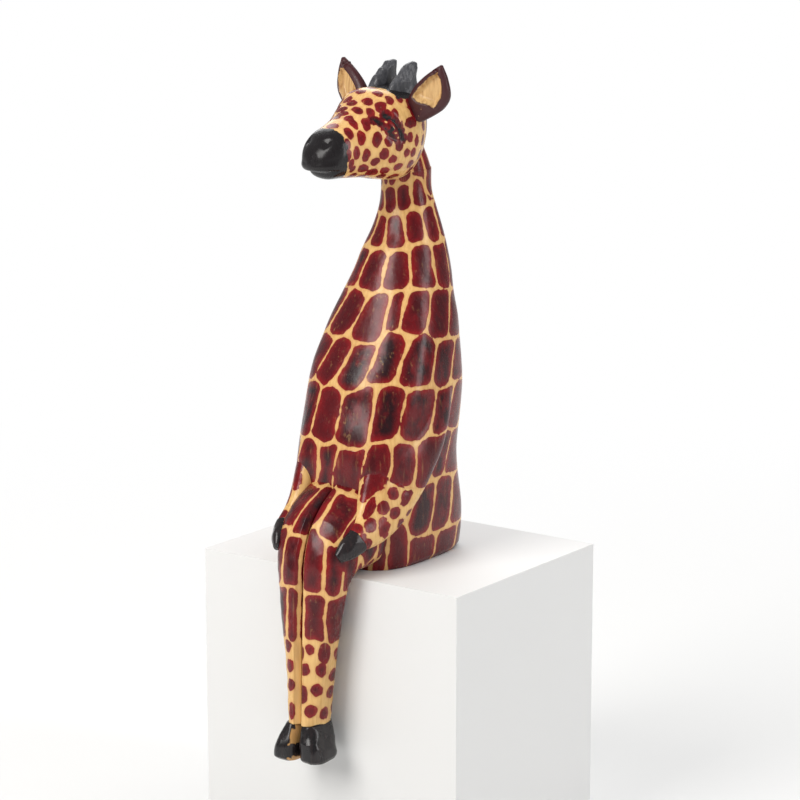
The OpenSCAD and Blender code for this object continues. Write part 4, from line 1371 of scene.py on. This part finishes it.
@dataclass(frozen=True)
class WoodFinish(Finish):
    """Bare or stained wood, whose grain shows; an optional dye mark colours its rim."""

    stain: Triple = (0.050, 0.009, 0.011)
    rubbed_amount: float = 0.4

    def make(self, groups: Groups, rimmed: bool = False) -> bpy.types.Material:
        """The material.

        Args:
            groups: The shared effects.
            rimmed: Whether its meshes carry a dye mark.

        Returns:
            The material.
        """
        material, sheet, shader = self.start()
        wood = groups.use(sheet, groups.grain, Pale=self.pale, Deep=self.deep, Strength=self.grain)
        colour = wood.outputs["Color"]
        rubbed = groups.use(sheet, groups.rubbed, Amount=self.rubbed_amount)
        colour = sheet.mix(rubbed.outputs["Mask"], colour, self.deep)
        if rimmed:
            ragged = sheet.times(sheet.math("SUBTRACT", sheet.noise(900, 3), 0.5), 1.1)
            dye = sheet.ramp(sheet.add(sheet.mark("dye"), ragged), -0.12, 0.25)
            worn = groups.use(sheet, groups.rubbed, Amount=0.8)
            dye = sheet.times(dye, sheet.math("SUBTRACT", 1.0, worn.outputs["Mask"]))
            colour = sheet.mix(dye, colour, self.stain)
        sheet.put(shader.inputs["Base Color"], colour)
        fibre = sheet.times(wood.outputs["Height"], self.grain_depth)
        self.surface(sheet, shader, groups, fibre)
        return material


PAINTED_COAT = CoatPaint("painted coat", pale=(0.74, 0.47, 0.185), deep=(0.52, 0.27, 0.080), grain=0.45,
                         relief=0.42, gloss=0.22, dullness=0.12, coat=0.15,
                         specular=0.24)
EAR_WOOD = WoodFinish("ear wood", pale=(0.70, 0.47, 0.21), deep=(0.42, 0.22, 0.08), grain=0.75,
                      relief=0.5, gloss=0.40, dullness=0.2, coat=0.15, grain_depth=0.06)
HORN_STAIN = WoodFinish("horn stain", pale=(0.036, 0.037, 0.044), deep=(0.115, 0.115, 0.125), grain=0.5,
                        relief=0.6, gloss=0.36, dullness=0.25, coat=0.25, grain_depth=0.08)
BLACK_LACQUER = WoodFinish("black lacquer", pale=(0.010, 0.009, 0.010), deep=(0.05, 0.03, 0.03), grain=0.25,
                           relief=0.4, gloss=0.17, dullness=0.14, coat=0.15, stain=(0.46, 0.25, 0.09),
                           specular=0.32, rubbed_amount=0.1)
DOWEL_WOOD = WoodFinish("dowel wood", pale=(0.62, 0.44, 0.22), deep=(0.36, 0.21, 0.09), grain=0.8,
                        relief=0.3, gloss=0.55, dullness=0.2)


# ---- Sub-assemblies ------------------------------------------------------------------------------------


@dataclass
class Finishes:
    """The materials, made once."""

    coat: bpy.types.Material
    ear: bpy.types.Material
    horn: bpy.types.Material
    hoof: bpy.types.Material
    dowel: bpy.types.Material


def add_piece(name: str, points: np.ndarray, marks: dict[str, np.ndarray], material: bpy.types.Material,
              node: str) -> None:
    """Adds a surface, gives it its material, hangs it under the root body and hides the node it stands for.

    Args:
        name: Name of the piece.
        points: Its rings in design millimetres.
        marks: Values to store on its vertices.
        material: Its material.
        node: The node it replaces.
    """
    piece = add_surface(name, points, marks)
    piece.data.materials.append(material)
    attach(piece, "root")
    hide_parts(node)
    LOG.info("%s: %d faces", piece.name, len(piece.data.polygons))


@dataclass
class SidedPiece:
    """A sub-assembly with a mirror image. Its shapes are worked out for the giraffe's left."""

    finishes: Finishes
    side: Side

    def name(self, kind: str) -> str:
        """The node's name on this side."""
        return f"{self.side.word}_{kind}"


def with_normals(points: np.ndarray, shift: np.ndarray) -> np.ndarray:
    """Moves a grid's points outwards by a shift in millimetres."""
    return points + outward(points) * shift[..., None]


def ridge(distance: np.ndarray, height: float, half: float) -> np.ndarray:
    """A rounded ridge's height at a distance from its line, or a groove's where height is negative."""
    return height * np.exp(-(distance / half) ** 2)


@dataclass
class Body:
    """The trunk and neck with both upper arms, painted in courses of patches."""

    finishes: Finishes
    drift: float = 1.5
    surface: BodySurface = field(default_factory=BodySurface)

    def paint(self) -> Paint:
        """The body's paint: courses of patches, with the wood left bare round the forelegs."""
        s = self.surface
        canvas = Canvas.of(s.points, np.degrees(s.turns), s.heights)
        turn, level, place_mm, level_mm = canvas.place, canvas.level, canvas.place_mm, canvas.level_mm
        distance, tone = BODY_PATCHES.paint(replace(canvas, place=turn - self.drift * s.bulge))
        limit = np.interp(level, (9, 20, 31), (49, 56, 67))
        bare = (np.abs(turn) - limit) * place_mm - 0.5
        top = (level - np.interp(np.abs(turn), (0, 30, 45, 60), (27, 29.5, 31.8, 30))) * level_mm - 0.5
        low = np.interp(np.abs(turn), (30, 38, 48, 54, 57, 65), (12, 15, 18.5, 16, 12, 11)) - level
        low = low * level_mm - 0.5
        distance = np.minimum(distance, np.maximum(np.maximum(bare, top), low))
        paint = Paint.bare(turn.shape)
        paint.add(distance, tone)
        return paint

    def build(self) -> None:
        """Makes the body."""
        points, under = self.surface.rings()
        marks = {name: np.concatenate([np.repeat(value[:1], under, 0), value])
                 for name, value in self.paint().marks().items()}
        add_piece("body_coat", points, marks, self.finishes.coat, "body")


@dataclass
class HeadPiece:
    """The head with its carved eyes, mouth, nostrils and jaw, and the nape that joins it to the neck."""

    finishes: Finishes
    rings: int = 230
    columns: int = 300
    eye: tuple[float, float] = (72.0, 20.4)
    mouth_z: float = 5.6
    overhang: float = 0.62
    lip_u: float = 39.5

    def over_mouth(self, height: np.ndarray, u: np.ndarray) -> np.ndarray:
        """How far above the mouth's line a height over the jaw is."""
        return height - self.mouth_z - 0.10 * (46.5 - u)

    def carve(self, u: np.ndarray, turn: np.ndarray, points: np.ndarray) -> np.ndarray:
        """How far the features stand out of the plain head or are cut into it.

        Args:
            u: Distance ahead of each point.
            turn: Degrees from straight up, growing to the left.
            points: The plain head's points in its own frame.

        Returns:
            Shifts in millimetres, positive outwards.
        """
        side = np.abs(turn)
        arc = np.hypot(points[..., 0], points[..., 2] - HEAD.jaw_z - 15) * math.pi / 180
        across = (side - self.eye[0]) * arc
        ahead = u - self.eye[1]
        along = 0.80 * across - 0.60 * ahead
        square = 0.60 * across + 0.80 * ahead
        lid = np.exp(-(along / 6.0) ** 4)
        height = points[..., 2] - HEAD.jaw_z
        mouth = self.over_mouth(height, u)
        muzzle = ease(38.5, 42.5, u)
        jaw = ease(22, 30, u) * ease(40, 34, u)
        eyeball = ridge(np.hypot(along / 3.6, square / 1.6), 0.75, 1.0)
        lids = lid * (ridge(square + 2.1 - 0.05 * along ** 2, -0.75, 0.75)
                      + ridge(square - 2.3 + 0.04 * along ** 2, -0.55, 0.8)
                      + ridge(square + 4.2, 0.6, 2.3) + ridge(square - 4.4, 0.35, 1.4))
        lips = muzzle * (ridge(mouth, -0.85, 0.42) + ridge(mouth - 1.8, 0.45, 1.4)
                         + ridge(mouth + 1.8, 0.25, 1.2))
        nostril = ridge(np.hypot((side - 40) * arc, (u - 42.5) * 0.8), -0.8, 1.1)
        return eyeball + lids + lips + nostril + jaw * ridge(height - 9.0, -0.35, 1.3)

    def paint(self, canvas: Canvas) -> Paint:
        """Dots over the head, black muzzle and crown band, dark lids and a dyed nape.

        Args:
            canvas: The carved head, with degrees from straight up and distances ahead of the neck.

        Returns:
            The paint.
        """
        u, points, side = canvas.level, canvas.points, np.abs(canvas.place)
        paint = Paint.bare(u.shape)
        paint.add(*HEAD_DOTS.paint(canvas))
        hand = 0.35 * lumps(points, 4.5, 71) + 0.15 * lumps(points, 1.8, 72)
        nape = -1.5 - u - 0.02 * np.maximum(side - 60, 0) + hand
        paint.add(np.maximum(nape, (side - 158) * 0.18 + hand - ease(6, 14, u) * 6), 0.8)
        root_mm = np.hypot((side - 52) * 0.22, (u - 6.6) * 0.8)
        paint.add(4.0 - root_mm + hand, 0.9)
        muzzle = u - np.interp(side, (0, 20, 100, 120, 140, 180), (38.2, 37.2, 36.9, 36.2, 35.0, 35.2)) + hand
        crown = np.minimum(np.minimum(u - 3.5, 14.8 - u), (40 - side) * 0.26) + hand
        smudge = LID_STROKES.paint(canvas)[0] + 0.2
        paint.add(np.where(smudge > 0.25, 2.6 * smudge, smudge), 1.0)
        paint.black = np.maximum(np.maximum(muzzle, crown), EYE_STROKES.paint(canvas)[0])
        return paint

    def build(self) -> None:
        """Makes the head, with its rings packed closer at both ends."""
        table = HEAD.table
        share = (1 - np.cos(np.pi * np.linspace(0.012, 0.988, self.rings))) / 2
        u = table.first + (table.last - table.first) * share
        turn = np.linspace(-math.pi, math.pi, self.columns, endpoint=False)
        plain = HEAD.rings(u, turn)
        wide_u = u[:, None] + np.zeros((1, self.columns))
        degrees = np.degrees(turn)[None] + np.zeros_like(wide_u)
        carved = with_normals(plain, self.carve(wide_u, degrees, plain))
        under = self.over_mouth(plain[..., 2] - HEAD.jaw_z, wide_u)
        back = self.overhang * ease(0.5, -0.7, under) * np.maximum(wide_u - self.lip_u, 0)
        carved[..., 1] += back
        marks = self.paint(Canvas.of(carved, np.degrees(turn), u)).marks()
        add_piece("head_coat", HEAD.place(carved), marks, self.finishes.coat, "head")

    def build_nape(self) -> None:
        """Makes the stub that fairs the back of the neck up into the head."""
        rows = Table.of((-0.02, 0, 1.0), (0.10, 0.12, 0.94), (0.24, 0.32, 0.87), (0.42, 0.55, 0.80))
        key = np.linspace(rows.first, rows.last, 40)
        turn = np.linspace(-math.pi, math.pi, 160, endpoint=False)[None]
        r = SIZES.half_neck * rows.read(key, 2)[:, None]
        y = SIZES.neck_y - SIZES.half_neck * rows.read(key, 1)[:, None] - r * np.cos(turn)
        z = TRUNK_HEIGHT + SIZES.head_h * key[:, None] + 0 * r * turn
        points = np.stack([r * np.sin(turn), y, z], -1)
        paint = Paint.bare(z.shape)
        hand = 0.3 * lumps(points, 5, 81)
        degrees = np.degrees(turn) + 0 * z
        cuts = np.abs((degrees - 85 + 17.5 + hand) % 35 - 17.5) * 0.15 - 0.5
        paint.add(np.minimum(cuts, 151.5 - z + hand), 0.7)
        add_piece("nape_coat", points, paint.marks(), self.finishes.coat, "head")


@dataclass
class Ear(SidedPiece):
    """A leaf-shaped ear with a hollow of bare wood inside a dyed rim."""

    rim: float = 1.9
    lean: Triple = (0.54, 0.04, 0.84)
    opens: Triple = (0.42, -0.88, 0.0)
    right_opens: Triple = (0.04, -1.0, 0.0)
    rows: Table = Table.of((-0.10, -0.02, 0.50, 3.2), (0.12, -0.06, 0.84, 3.2), (0.35, -0.16, 1.00, 2.9),
                           (0.60, -0.22, 0.90, 2.5), (0.85, -0.14, 0.46, 1.8), (1.00, -0.04, 0.08, 0.8))

    def leaf(self) -> tuple[np.ndarray, dict[str, np.ndarray]]:
        """The ear in its own frame: length along Z and the hollow looking along Y.

        Returns:
            The grid and its marks.
        """
        s = np.linspace(-0.10, 1.0, 130)[:, None]
        turn = np.linspace(0, 2 * math.pi, 150, endpoint=False)[None]
        half = SIZES.half_ear
        w = half * self.rows.read(s, 2)
        t = self.rows.read(s, 3)
        drift = half * 1.5 * self.rows.read(s, 1)
        cos, sin = np.cos(turn), np.sin(turn)
        across = w * cos
        y = t * bulge(sin, 2.6)
        inset_side = np.maximum(w, 0.1) - np.abs(across)
        inset_tip = (1.0 - s) * SIZES.ear_l - 1.2
        inset_root = (s - 0.15) * SIZES.ear_l
        inset = np.minimum(np.minimum(inset_side, inset_tip), inset_root)
        points = np.stack([drift + across, y, s * SIZES.ear_l + 0 * across], -1)
        hand = 0.20 * lumps(points, 7.0, 91 + self.side.value)
        rim = self.rim - 0.7 + 1.3 * ease(0.4, -0.6, cos if self.side is Side.LEFT else -cos)
        lip = inset - rim + hand
        cut = SIZES.ear_hollow * ease(-0.2, 2.4, lip) * (sin > 0)
        nick = 1.1 * np.exp(-((s - 0.86) * SIZES.ear_l / 0.9) ** 2) * (sin > 0) * (cos > 0.2)
        points[..., 1] = points[..., 1] - cut - nick
        shade = np.where(sin > 0, 0.5 - lip, 3.0 + 0 * lip)
        return points, {"dye": np.clip(shade, FAR_OUT, FAR_IN) + 0 * across}

    def build(self) -> None:
        """Makes the ear and sets it on the head."""
        points, marks = self.leaf()
        along = unit(np.array(self.lean))
        look = np.array(self.opens if self.side is Side.LEFT else self.right_opens)
        look = unit(look - along * (look @ along))
        root = np.array([0.85 * SIZES.half_head, -0.11 * SIZES.head_l, TRUNK_HEIGHT + SIZES.ear_z])
        if self.side is Side.RIGHT:
            root = root - np.array([0, SIZES.right_ear_forward, SIZES.right_ear_drop])
        points = root + points @ np.stack([np.cross(look, along), look, along])
        points = self.side.mirror(points)
        name = self.name("ear")
        add_piece(f"{name}_leaf", HEAD.place(points), marks, self.finishes.ear, name)


@dataclass
class Horn(SidedPiece):
    """A stubby horn: a knife-cut fin with a sloping front, sunk into the crown."""

    sink: float = 5.0
    rows: Table = Table.of((0, 0.00, 0.50, 0.50), (0.35, 0.02, 0.49, 0.50), (0.62, 0.12, 0.36, 0.46),
                           (0.85, 0.25, 0.24, 0.38), (0.96, 0.31, 0.17, 0.28), (1, 0.33, 0.08, 0.12))

    def build(self) -> None:
        """Makes the horn, with shallow knife cuts over its faces."""
        s = np.linspace(0, 1, 90)[:, None]
        turn = np.linspace(0, 2 * math.pi, 120, endpoint=False)[None]
        crown = HEAD.jaw_z + SIZES.head_h
        x = SIZES.horn_gap / 2 + SIZES.horn_t * self.rows.read(s, 3) * bulge(np.cos(turn), 2.3)
        y = SIZES.horn_l * (self.rows.read(s, 1) - 0.49 + self.rows.read(s, 2) * bulge(np.sin(turn), 2.3))
        z = crown - self.sink + s * (SIZES.horn_h + self.sink) + 0 * x
        points = np.stack([x, y, z], -1)
        seed = 101 + self.side.value
        cuts = -0.30 * np.abs(lumps(points, 7.0, seed)) - 0.05 * np.abs(lumps(points, 2.4, seed + 9))
        points = self.side.mirror(with_normals(points, cuts))
        name = self.name("horn")
        add_piece(f"{name}_block", HEAD.place(points), {}, self.finishes.horn, name)


@dataclass
class Foreleg(SidedPiece):
    """A forearm that runs down from the elbow to the wrist, with dabbed dots, and its black hoof."""

    root: float = 3.4
    buried: float = 1.9
    outer_divide: float = -98.0
    inner_divide: float = 112.0
    divide_half: float = 0.5

    def build(self) -> None:
        """Makes the forearm. Above the elbow it runs on a little under the body's skin."""
        keys = np.linspace(self.root, ARM.wrist + 0.06, 200)
        turns = np.linspace(-math.pi, math.pi, 180, endpoint=False)
        points = ARM.rings(keys, turns)
        sunk = -self.buried * ease(ARM.elbow + 0.12, ARM.elbow - 0.28, keys)[:, None]
        flats = 0.22 * np.abs(lumps(points, 7.0, 111)) * ease(4.4, 3.9, keys)[:, None]
        points = with_normals(points, sunk - flats + 0 * turns)
        canvas = Canvas.of(points, np.degrees(turns), keys)
        degrees, place_mm = canvas.place, canvas.place_mm
        paint = Paint.bare(degrees.shape)
        paint.add(*FORELEG_DOTS.paint(canvas))
        paint.add(*ELBOW_FACET.paint(canvas))
        low = np.interp(degrees, (-180, -120, -95, -40, -20, -10, 140, 180),
                        (4.5, 4.4, 4.15, 4.0, 3.6, 0.0, 0.0, 4.5))
        line = np.abs(degrees - self.outer_divide) * place_mm - self.divide_half
        if self.side is Side.RIGHT:
            low = np.maximum(low, np.interp(degrees, (20, 60, 180), (0.0, 4.65, 4.8)))
            inner = np.abs(degrees - self.inner_divide) * place_mm - self.divide_half
            line = np.minimum(line, inner)
        end = (low - canvas.level) * canvas.level_mm + 0.2 * lumps(points, 4.0, 59)
        paint.add(np.minimum(end, line), 0.6)
        name = self.name("foreleg")
        add_piece(f"{name}_coat", self.side.mirror(points), paint.marks(), self.finishes.coat, name)

    def build_hoof(self) -> None:
        """Makes the hoof: a little fuller than the wrist, with knife flats."""
        keys = np.concatenate([np.linspace(ARM.wrist, ARM.wrist + 0.08, 5),
                               np.linspace(ARM.wrist + 0.1, ARM.tip - 0.01, 70)])
        turns = np.linspace(-math.pi, math.pi, 140, endpoint=False)
        points = ARM.rings(keys, turns)
        lip = (0.30 * ease(ARM.wrist - 0.01, ARM.wrist + 0.10, keys)
               - 0.5 * ease(ARM.wrist + 0.1, ARM.wrist + 0.9, keys))[:, None] - 0.10
        flats = 0.18 * np.abs(lumps(points, 9.0, 121))
        points = with_normals(points, lip - flats + 0 * turns)
        name = self.name("fore_hoof")
        marks = {"dye": np.full(points.shape[:2], FAR_OUT)}
        add_piece(f"{name}_shell", self.side.mirror(points), marks, self.finishes.hoof, name)


@dataclass
class HindLeg(SidedPiece):
    """A hind leg: thigh, knee and shin over the shelf's edge, with patches above and dots below."""

    rings: int = 260
    columns: int = 240
    most_level_mm: float = 14.0
    inner_wall: float = 2.2
    slit_side: float = 0.06
    hoof_side: float = 0.1
    under_seat: float = 0.3
    hoof_rows: Table = Table.of((0, 0.00, 0.00, 0.64, 0.93, 2.7), (0.22, 0.20, 0.04, 0.80, 0.99, 2.8),
                                (0.60, 0.75, 0.10, 0.95, 1.03, 3), (0.90, 1.00, 0.10, 1.00, 1.00, 3),
                                (1, 1.00, 0.08, 0.90, 0.90, 3))

    @property
    def forward(self) -> float:
        """How much further forward this side's hoof is set."""
        return 1.0 if self.side is Side.LEFT else 2.4

    def paint(self, column_mm: np.ndarray, level: np.ndarray, points: np.ndarray) -> Paint:
        """Patches on thigh, knee and shin, dots lower down, and a dark line of painted shade inside the saw
        cut.

        Args:
            column_mm: Millimetres round the leg of each point.
            level: Key of each point.
            points: The leg's grid.

        Returns:
            The paint.
        """
        patches, dots = ((LEFT_LEG_PATCHES, LEFT_LEG_DOTS) if self.side is Side.LEFT
                         else (RIGHT_LEG_PATCHES, RIGHT_LEG_DOTS))
        level_mm = np.minimum(level_scale(points, level[:, 0]), self.most_level_mm)
        canvas = Canvas(column_mm, level, points, np.ones_like(level), level_mm)
        paint = Paint.bare(level.shape)
        paint.add(*patches.paint(canvas))
        paint.add(*dots.paint(canvas))
        hand = 0.25 * lumps(points, 4.0, 131)
        # Painted shade: a dark dye line on the shin's inner wall, deep inside the narrow saw cut between the
        # legs.
        slit_shade = 1.4 - np.abs(column_mm - 3.9) + hand
        paint.add(np.minimum(np.minimum(slit_shade, (level - 4.2) * 6), (5.5 - level) * 6), 0.8)
        arch = points[..., 2] - LEG.ankle_z
        paint.black = 0.9 - arch - 0.10 * (column_mm - 14) ** 2 * (column_mm < 24) + hand
        return paint

    def build(self) -> None:
        """Makes the leg, kept clear of the shelf's front below the seat."""
        keys = np.linspace(LEG.table.first, LEG.table.last, self.rings)
        points = LEG.rings(keys, self.columns)
        hand = -0.16 * np.abs(lumps(points, 9.0, 135 + self.side.value))
        inner = points[..., 0] < self.inner_wall
        points = with_normals(points, np.where(inner, 0.0, hand))
        points[..., 0] = np.maximum(points[..., 0], self.slit_side)
        over_shelf = points[..., 1] > -SIZES.shelf_in
        points[..., 2] = np.where(over_shelf, np.maximum(points[..., 2], self.under_seat), points[..., 2])
        points[..., 1] = np.minimum(points[..., 1], -SIZES.lap_y)
        around = np.linalg.norm(np.diff(points, axis=1), axis=-1)
        column_mm = np.concatenate([np.zeros((self.rings, 1)), np.cumsum(around, 1)], 1)
        level = keys[:, None] + np.zeros_like(column_mm)
        marks = self.paint(column_mm, level, points).marks()
        name = self.name("hind_leg")
        add_piece(f"{name}_coat", self.side.mirror(points), marks, self.finishes.coat, name)

    def build_hoof(self) -> None:
        """Makes the hoof: splayed outwards, with knife-cut flats and a rounded sole."""
        s = np.concatenate([np.linspace(0, 0.9, 70), np.linspace(0.91, 1, 14)])[:, None]
        turn = np.linspace(0, 2 * math.pi, 180, endpoint=False)[None]
        read = self.hoof_rows.read
        half, centre = SIZES.half_hoof, (SIZES.ankle_w + LEG.shut) / 2
        splay = half + SIZES.slit_w / 2 - centre
        ankle_y = float(LEG.table.read(LEG.table.last, 1))
        n = read(s, 5)
        x = centre + splay * read(s, 1) + half * read(s, 3) * bulge(np.cos(turn), n)
        y = (ankle_y - self.forward * read(s, 2) * SIZES.hoof_h
             + SIZES.half_shin * read(s, 4) * bulge(np.sin(turn), n))
        z = LEG.ankle_z - s * SIZES.hoof_h + 0 * x
        points = np.stack([x, y, z], -1)
        flats = -0.22 * np.abs(lumps(points, 11.0, 141 + self.side.value))
        points = with_normals(points, flats)
        points[..., 0] = np.maximum(points[..., 0], self.hoof_side)
        points[..., 2] = np.maximum(points[..., 2], -SIZES.leg_drop)
        chip = 1.1 - np.hypot((points[..., 0] - 1.0) * 0.8, (points[..., 2] + SIZES.leg_drop - 0.5) * 0.8)
        chip = np.where(points[..., 1] < ankle_y, chip + 0.3 * lumps(points, 2.0, 147), FAR_OUT)
        if self.side is Side.RIGHT:
            inner = np.minimum(1.9 - points[..., 0], points[..., 2] + SIZES.leg_drop - 6.5)
            chip = np.maximum(chip, inner + 0.3 * lumps(points, 3.0, 149))
        name, marks = self.name("hind_hoof"), {"dye": np.clip(chip, FAR_OUT, FAR_IN)}
        add_piece(f"{name}_shell", self.side.mirror(points), marks, self.finishes.hoof, name)


@dataclass
class Dowels:
    """The hidden dowels and pegs, kept as the frame's own turned pieces."""

    finishes: Finishes
    nodes: tuple[str, ...] = ("neck_dowel", "ear_pegs", "horn_pegs", "foreleg_dowels", "leg_dowels",
                              "hoof_pegs")

    def dress(self) -> None:
        """Gives each its wood in place of the plain colour."""
        for node in self.nodes:
            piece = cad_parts[node]
            for place in piece.material_slots:
                place.material = self.finishes.dowel
            if not piece.material_slots:
                piece.data.materials.append(self.finishes.dowel)
            LOG.info("%s: dressed", node)


# ---- Studio ----------------------------------------------------------------------------------------------


@dataclass(frozen=True)
class SoftBox:
    """A soft box that looks at a point: places and size in metres, power in watts."""

    name: str
    at: Triple
    aim: Triple
    size: tuple[float, float]
    power: float
    colour: Triple


SOFT_BOXES = (
    SoftBox("key_softbox", (-0.25, -1.15, 0.85), (0, 0, 0.06), (0.75, 0.9), 16.5, (1.0, 0.98, 0.95)),
    SoftBox("side_softbox", (1.1, 0.25, 0.45), (0, 0, 0.06), (0.3, 0.9), 4.5, (1.0, 1.0, 1.0)),
    SoftBox("back_softbox", (-0.7, 0.9, 0.8), (0, 0, 0.08), (0.9, 0.9), 6.0, (1.0, 1.0, 1.0)),
)


@dataclass
class Studio:
    """A pale plinth on a pale floor under soft lights, and the camera."""

    camera_at: Triple = (0.63372, -0.86260, 0.29342)
    camera_along: Triple = (-0.5717, 0.7919, -0.2144)
    lens: float = 135.0
    sensor: float = 36.0
    floor_z: float = -0.112
    floor_half: float = 6.0
    floor_thick: float = 0.02
    plinth_half: float = 0.057
    plinth_back: float = 0.060
    plinth_set: float = 0.0002
    fill: float = 0.28
    overhead: float = 1.5
    overhead_spread: float = 1.2
    overhead_lean: Triple = (-14.0, 8.0, 0.0)
    white: Triple = (0.74, 0.74, 0.735)
    fade: tuple[float, float] = (0.16, 0.75)

    def backdrop(self, material: bpy.types.Material) -> None:
        """Lets a studio surface fade to plain white far from the object, where only the camera looks.

        Args:
            material: The surface's material.
        """
        sheet = Sheet(material.node_tree)
        place = sheet.node("ShaderNodeTexCoord").outputs["Object"]
        away = sheet.node("ShaderNodeVectorMath", {0: place}, operation="LENGTH").outputs["Value"]
        seen = sheet.node("ShaderNodeLightPath").outputs["Is Camera Ray"]
        share = sheet.times(sheet.ramp(away, self.fade[0], self.fade[1]), seen)
        glow = sheet.node("ShaderNodeEmission", {"Color": (1.0, 1.0, 1.0), "Strength": 1.0})
        shader = material.node_tree.nodes["Principled BSDF"]
        both = sheet.node("ShaderNodeMixShader", {0: share, 1: shader.outputs[0], 2: glow.outputs[0]})
        sheet.put(material.node_tree.nodes["Material Output"].inputs[0], both.outputs[0])

    def surface(self) -> bpy.types.Material:
        """Plain matt white that fades into the backdrop."""
        material = bpy.data.materials.new("studio white")
        material.use_nodes = True
        shader = material.node_tree.nodes["Principled BSDF"]
        shader.inputs["Base Color"].default_value = (*self.white, 1.0)
        shader.inputs["Roughness"].default_value = 0.65
        self.backdrop(material)
        return material

    def block(self, name: str, low: Triple, high: Triple,
              material: bpy.types.Material) -> None:
        """Adds a box of the studio.

        Args:
            name: Its name.
            low: Its lowest corner in metres.
            high: Its highest corner in metres.
            material: Its material.
        """
        corners = [(x, y, z) for x in (low[0], high[0]) for y in (low[1], high[1]) for z in (low[2], high[2])]
        faces = [(0, 1, 3, 2), (4, 6, 7, 5), (0, 4, 5, 1), (2, 3, 7, 6), (0, 2, 6, 4), (1, 5, 7, 3)]
        mesh = bpy.data.meshes.new(name)
        mesh.from_pydata(corners, [], faces)
        made = bpy.data.objects.new(name, mesh)
        bpy.context.scene.collection.objects.link(made)
        made.data.materials.append(material)

    def light(self, box: SoftBox) -> None:
        """Adds a soft box.

        Args:
            box: What it is and where it stands.
        """
        lamp = bpy.data.lights.new(box.name, "AREA")
        lamp.shape, lamp.size, lamp.size_y = "RECTANGLE", *box.size
        lamp.energy, lamp.color = box.power, box.colour
        made = bpy.data.objects.new(box.name, lamp)
        made.location = box.at
        way = made.location - made.location.__class__(box.aim)
        made.rotation_euler = way.to_track_quat("Z", "Y").to_euler()
        bpy.context.scene.collection.objects.link(made)

    def sun(self) -> None:
        """Adds the broad light from overhead, which leaves no mirror image of itself on the lacquer."""
        lamp = bpy.data.lights.new("overhead", "SUN")
        lamp.energy, lamp.angle = self.overhead, self.overhead_spread
        above = bpy.data.objects.new("overhead", lamp)
        above.visible_glossy = False
        above.location, above.rotation_euler = (0, 0, 1), tuple(map(math.radians, self.overhead_lean))
        bpy.context.scene.collection.objects.link(above)

    def camera(self) -> None:
        """Adds the camera."""
        lens = bpy.data.cameras.new("camera")
        lens.lens, lens.sensor_width = self.lens, self.sensor
        camera = bpy.data.objects.new("camera", lens)
        camera.location = self.camera_at
        along = camera.location.__class__(self.camera_along)
        camera.rotation_euler = (-along).to_track_quat("Z", "Y").to_euler()
        bpy.context.scene.collection.objects.link(camera)
        bpy.context.scene.camera = camera

    def build(self) -> None:
        """Makes the floor, plinth, world, lights and camera."""
        white = self.surface()
        wide, top = self.floor_half, self.floor_z
        self.block("studio_floor", (-wide, -wide, top - self.floor_thick), (wide, wide, top), white)
        edge = -SIZES.shelf_in * MM + self.plinth_set
        self.block("studio_plinth", (-self.plinth_half, edge, top),
                   (self.plinth_half, self.plinth_back, 0.0), white)
        world = bpy.data.worlds.new("studio")
        world.use_nodes = True
        world.node_tree.nodes.clear()
        sheet = Sheet(world.node_tree)
        seen = sheet.node("ShaderNodeLightPath").outputs["Is Camera Ray"]
        fill = sheet.node("ShaderNodeMapRange", {0: seen, 3: self.fill, 4: 1.0}).outputs[0]
        sky = sheet.node("ShaderNodeBackground", {"Color": (1.0, 1.0, 1.0), "Strength": fill})
        out = sheet.node("ShaderNodeOutputWorld")
        sheet.put(out.inputs[0], sky.outputs[0])
        bpy.context.scene.world = world
        for box in SOFT_BOXES:
            self.light(box)
        self.sun()
        self.camera()
        bpy.context.scene.view_settings.view_transform = "Standard"


def main() -> None:
    """Builds the giraffe's pieces in order, then the studio."""
    logging.basicConfig(level=logging.INFO, format="%(name)s %(message)s")
    groups = Groups()
    finishes = Finishes(coat=PAINTED_COAT.make(groups), ear=EAR_WOOD.make(groups, rimmed=True),
                        horn=HORN_STAIN.make(groups), hoof=BLACK_LACQUER.make(groups, rimmed=True),
                        dowel=DOWEL_WOOD.make(groups))
    Body(finishes).build()
    head = HeadPiece(finishes)
    head.build()
    head.build_nape()
    for side in Side:
        Ear(finishes, side).build()
        Horn(finishes, side).build()
        foreleg = Foreleg(finishes, side)
        foreleg.build()
        foreleg.build_hoof()
        leg = HindLeg(finishes, side)
        leg.build()
        leg.build_hoof()
    Dowels(finishes).dress()
    Studio().build()


if __name__ == "__main__":
    main()
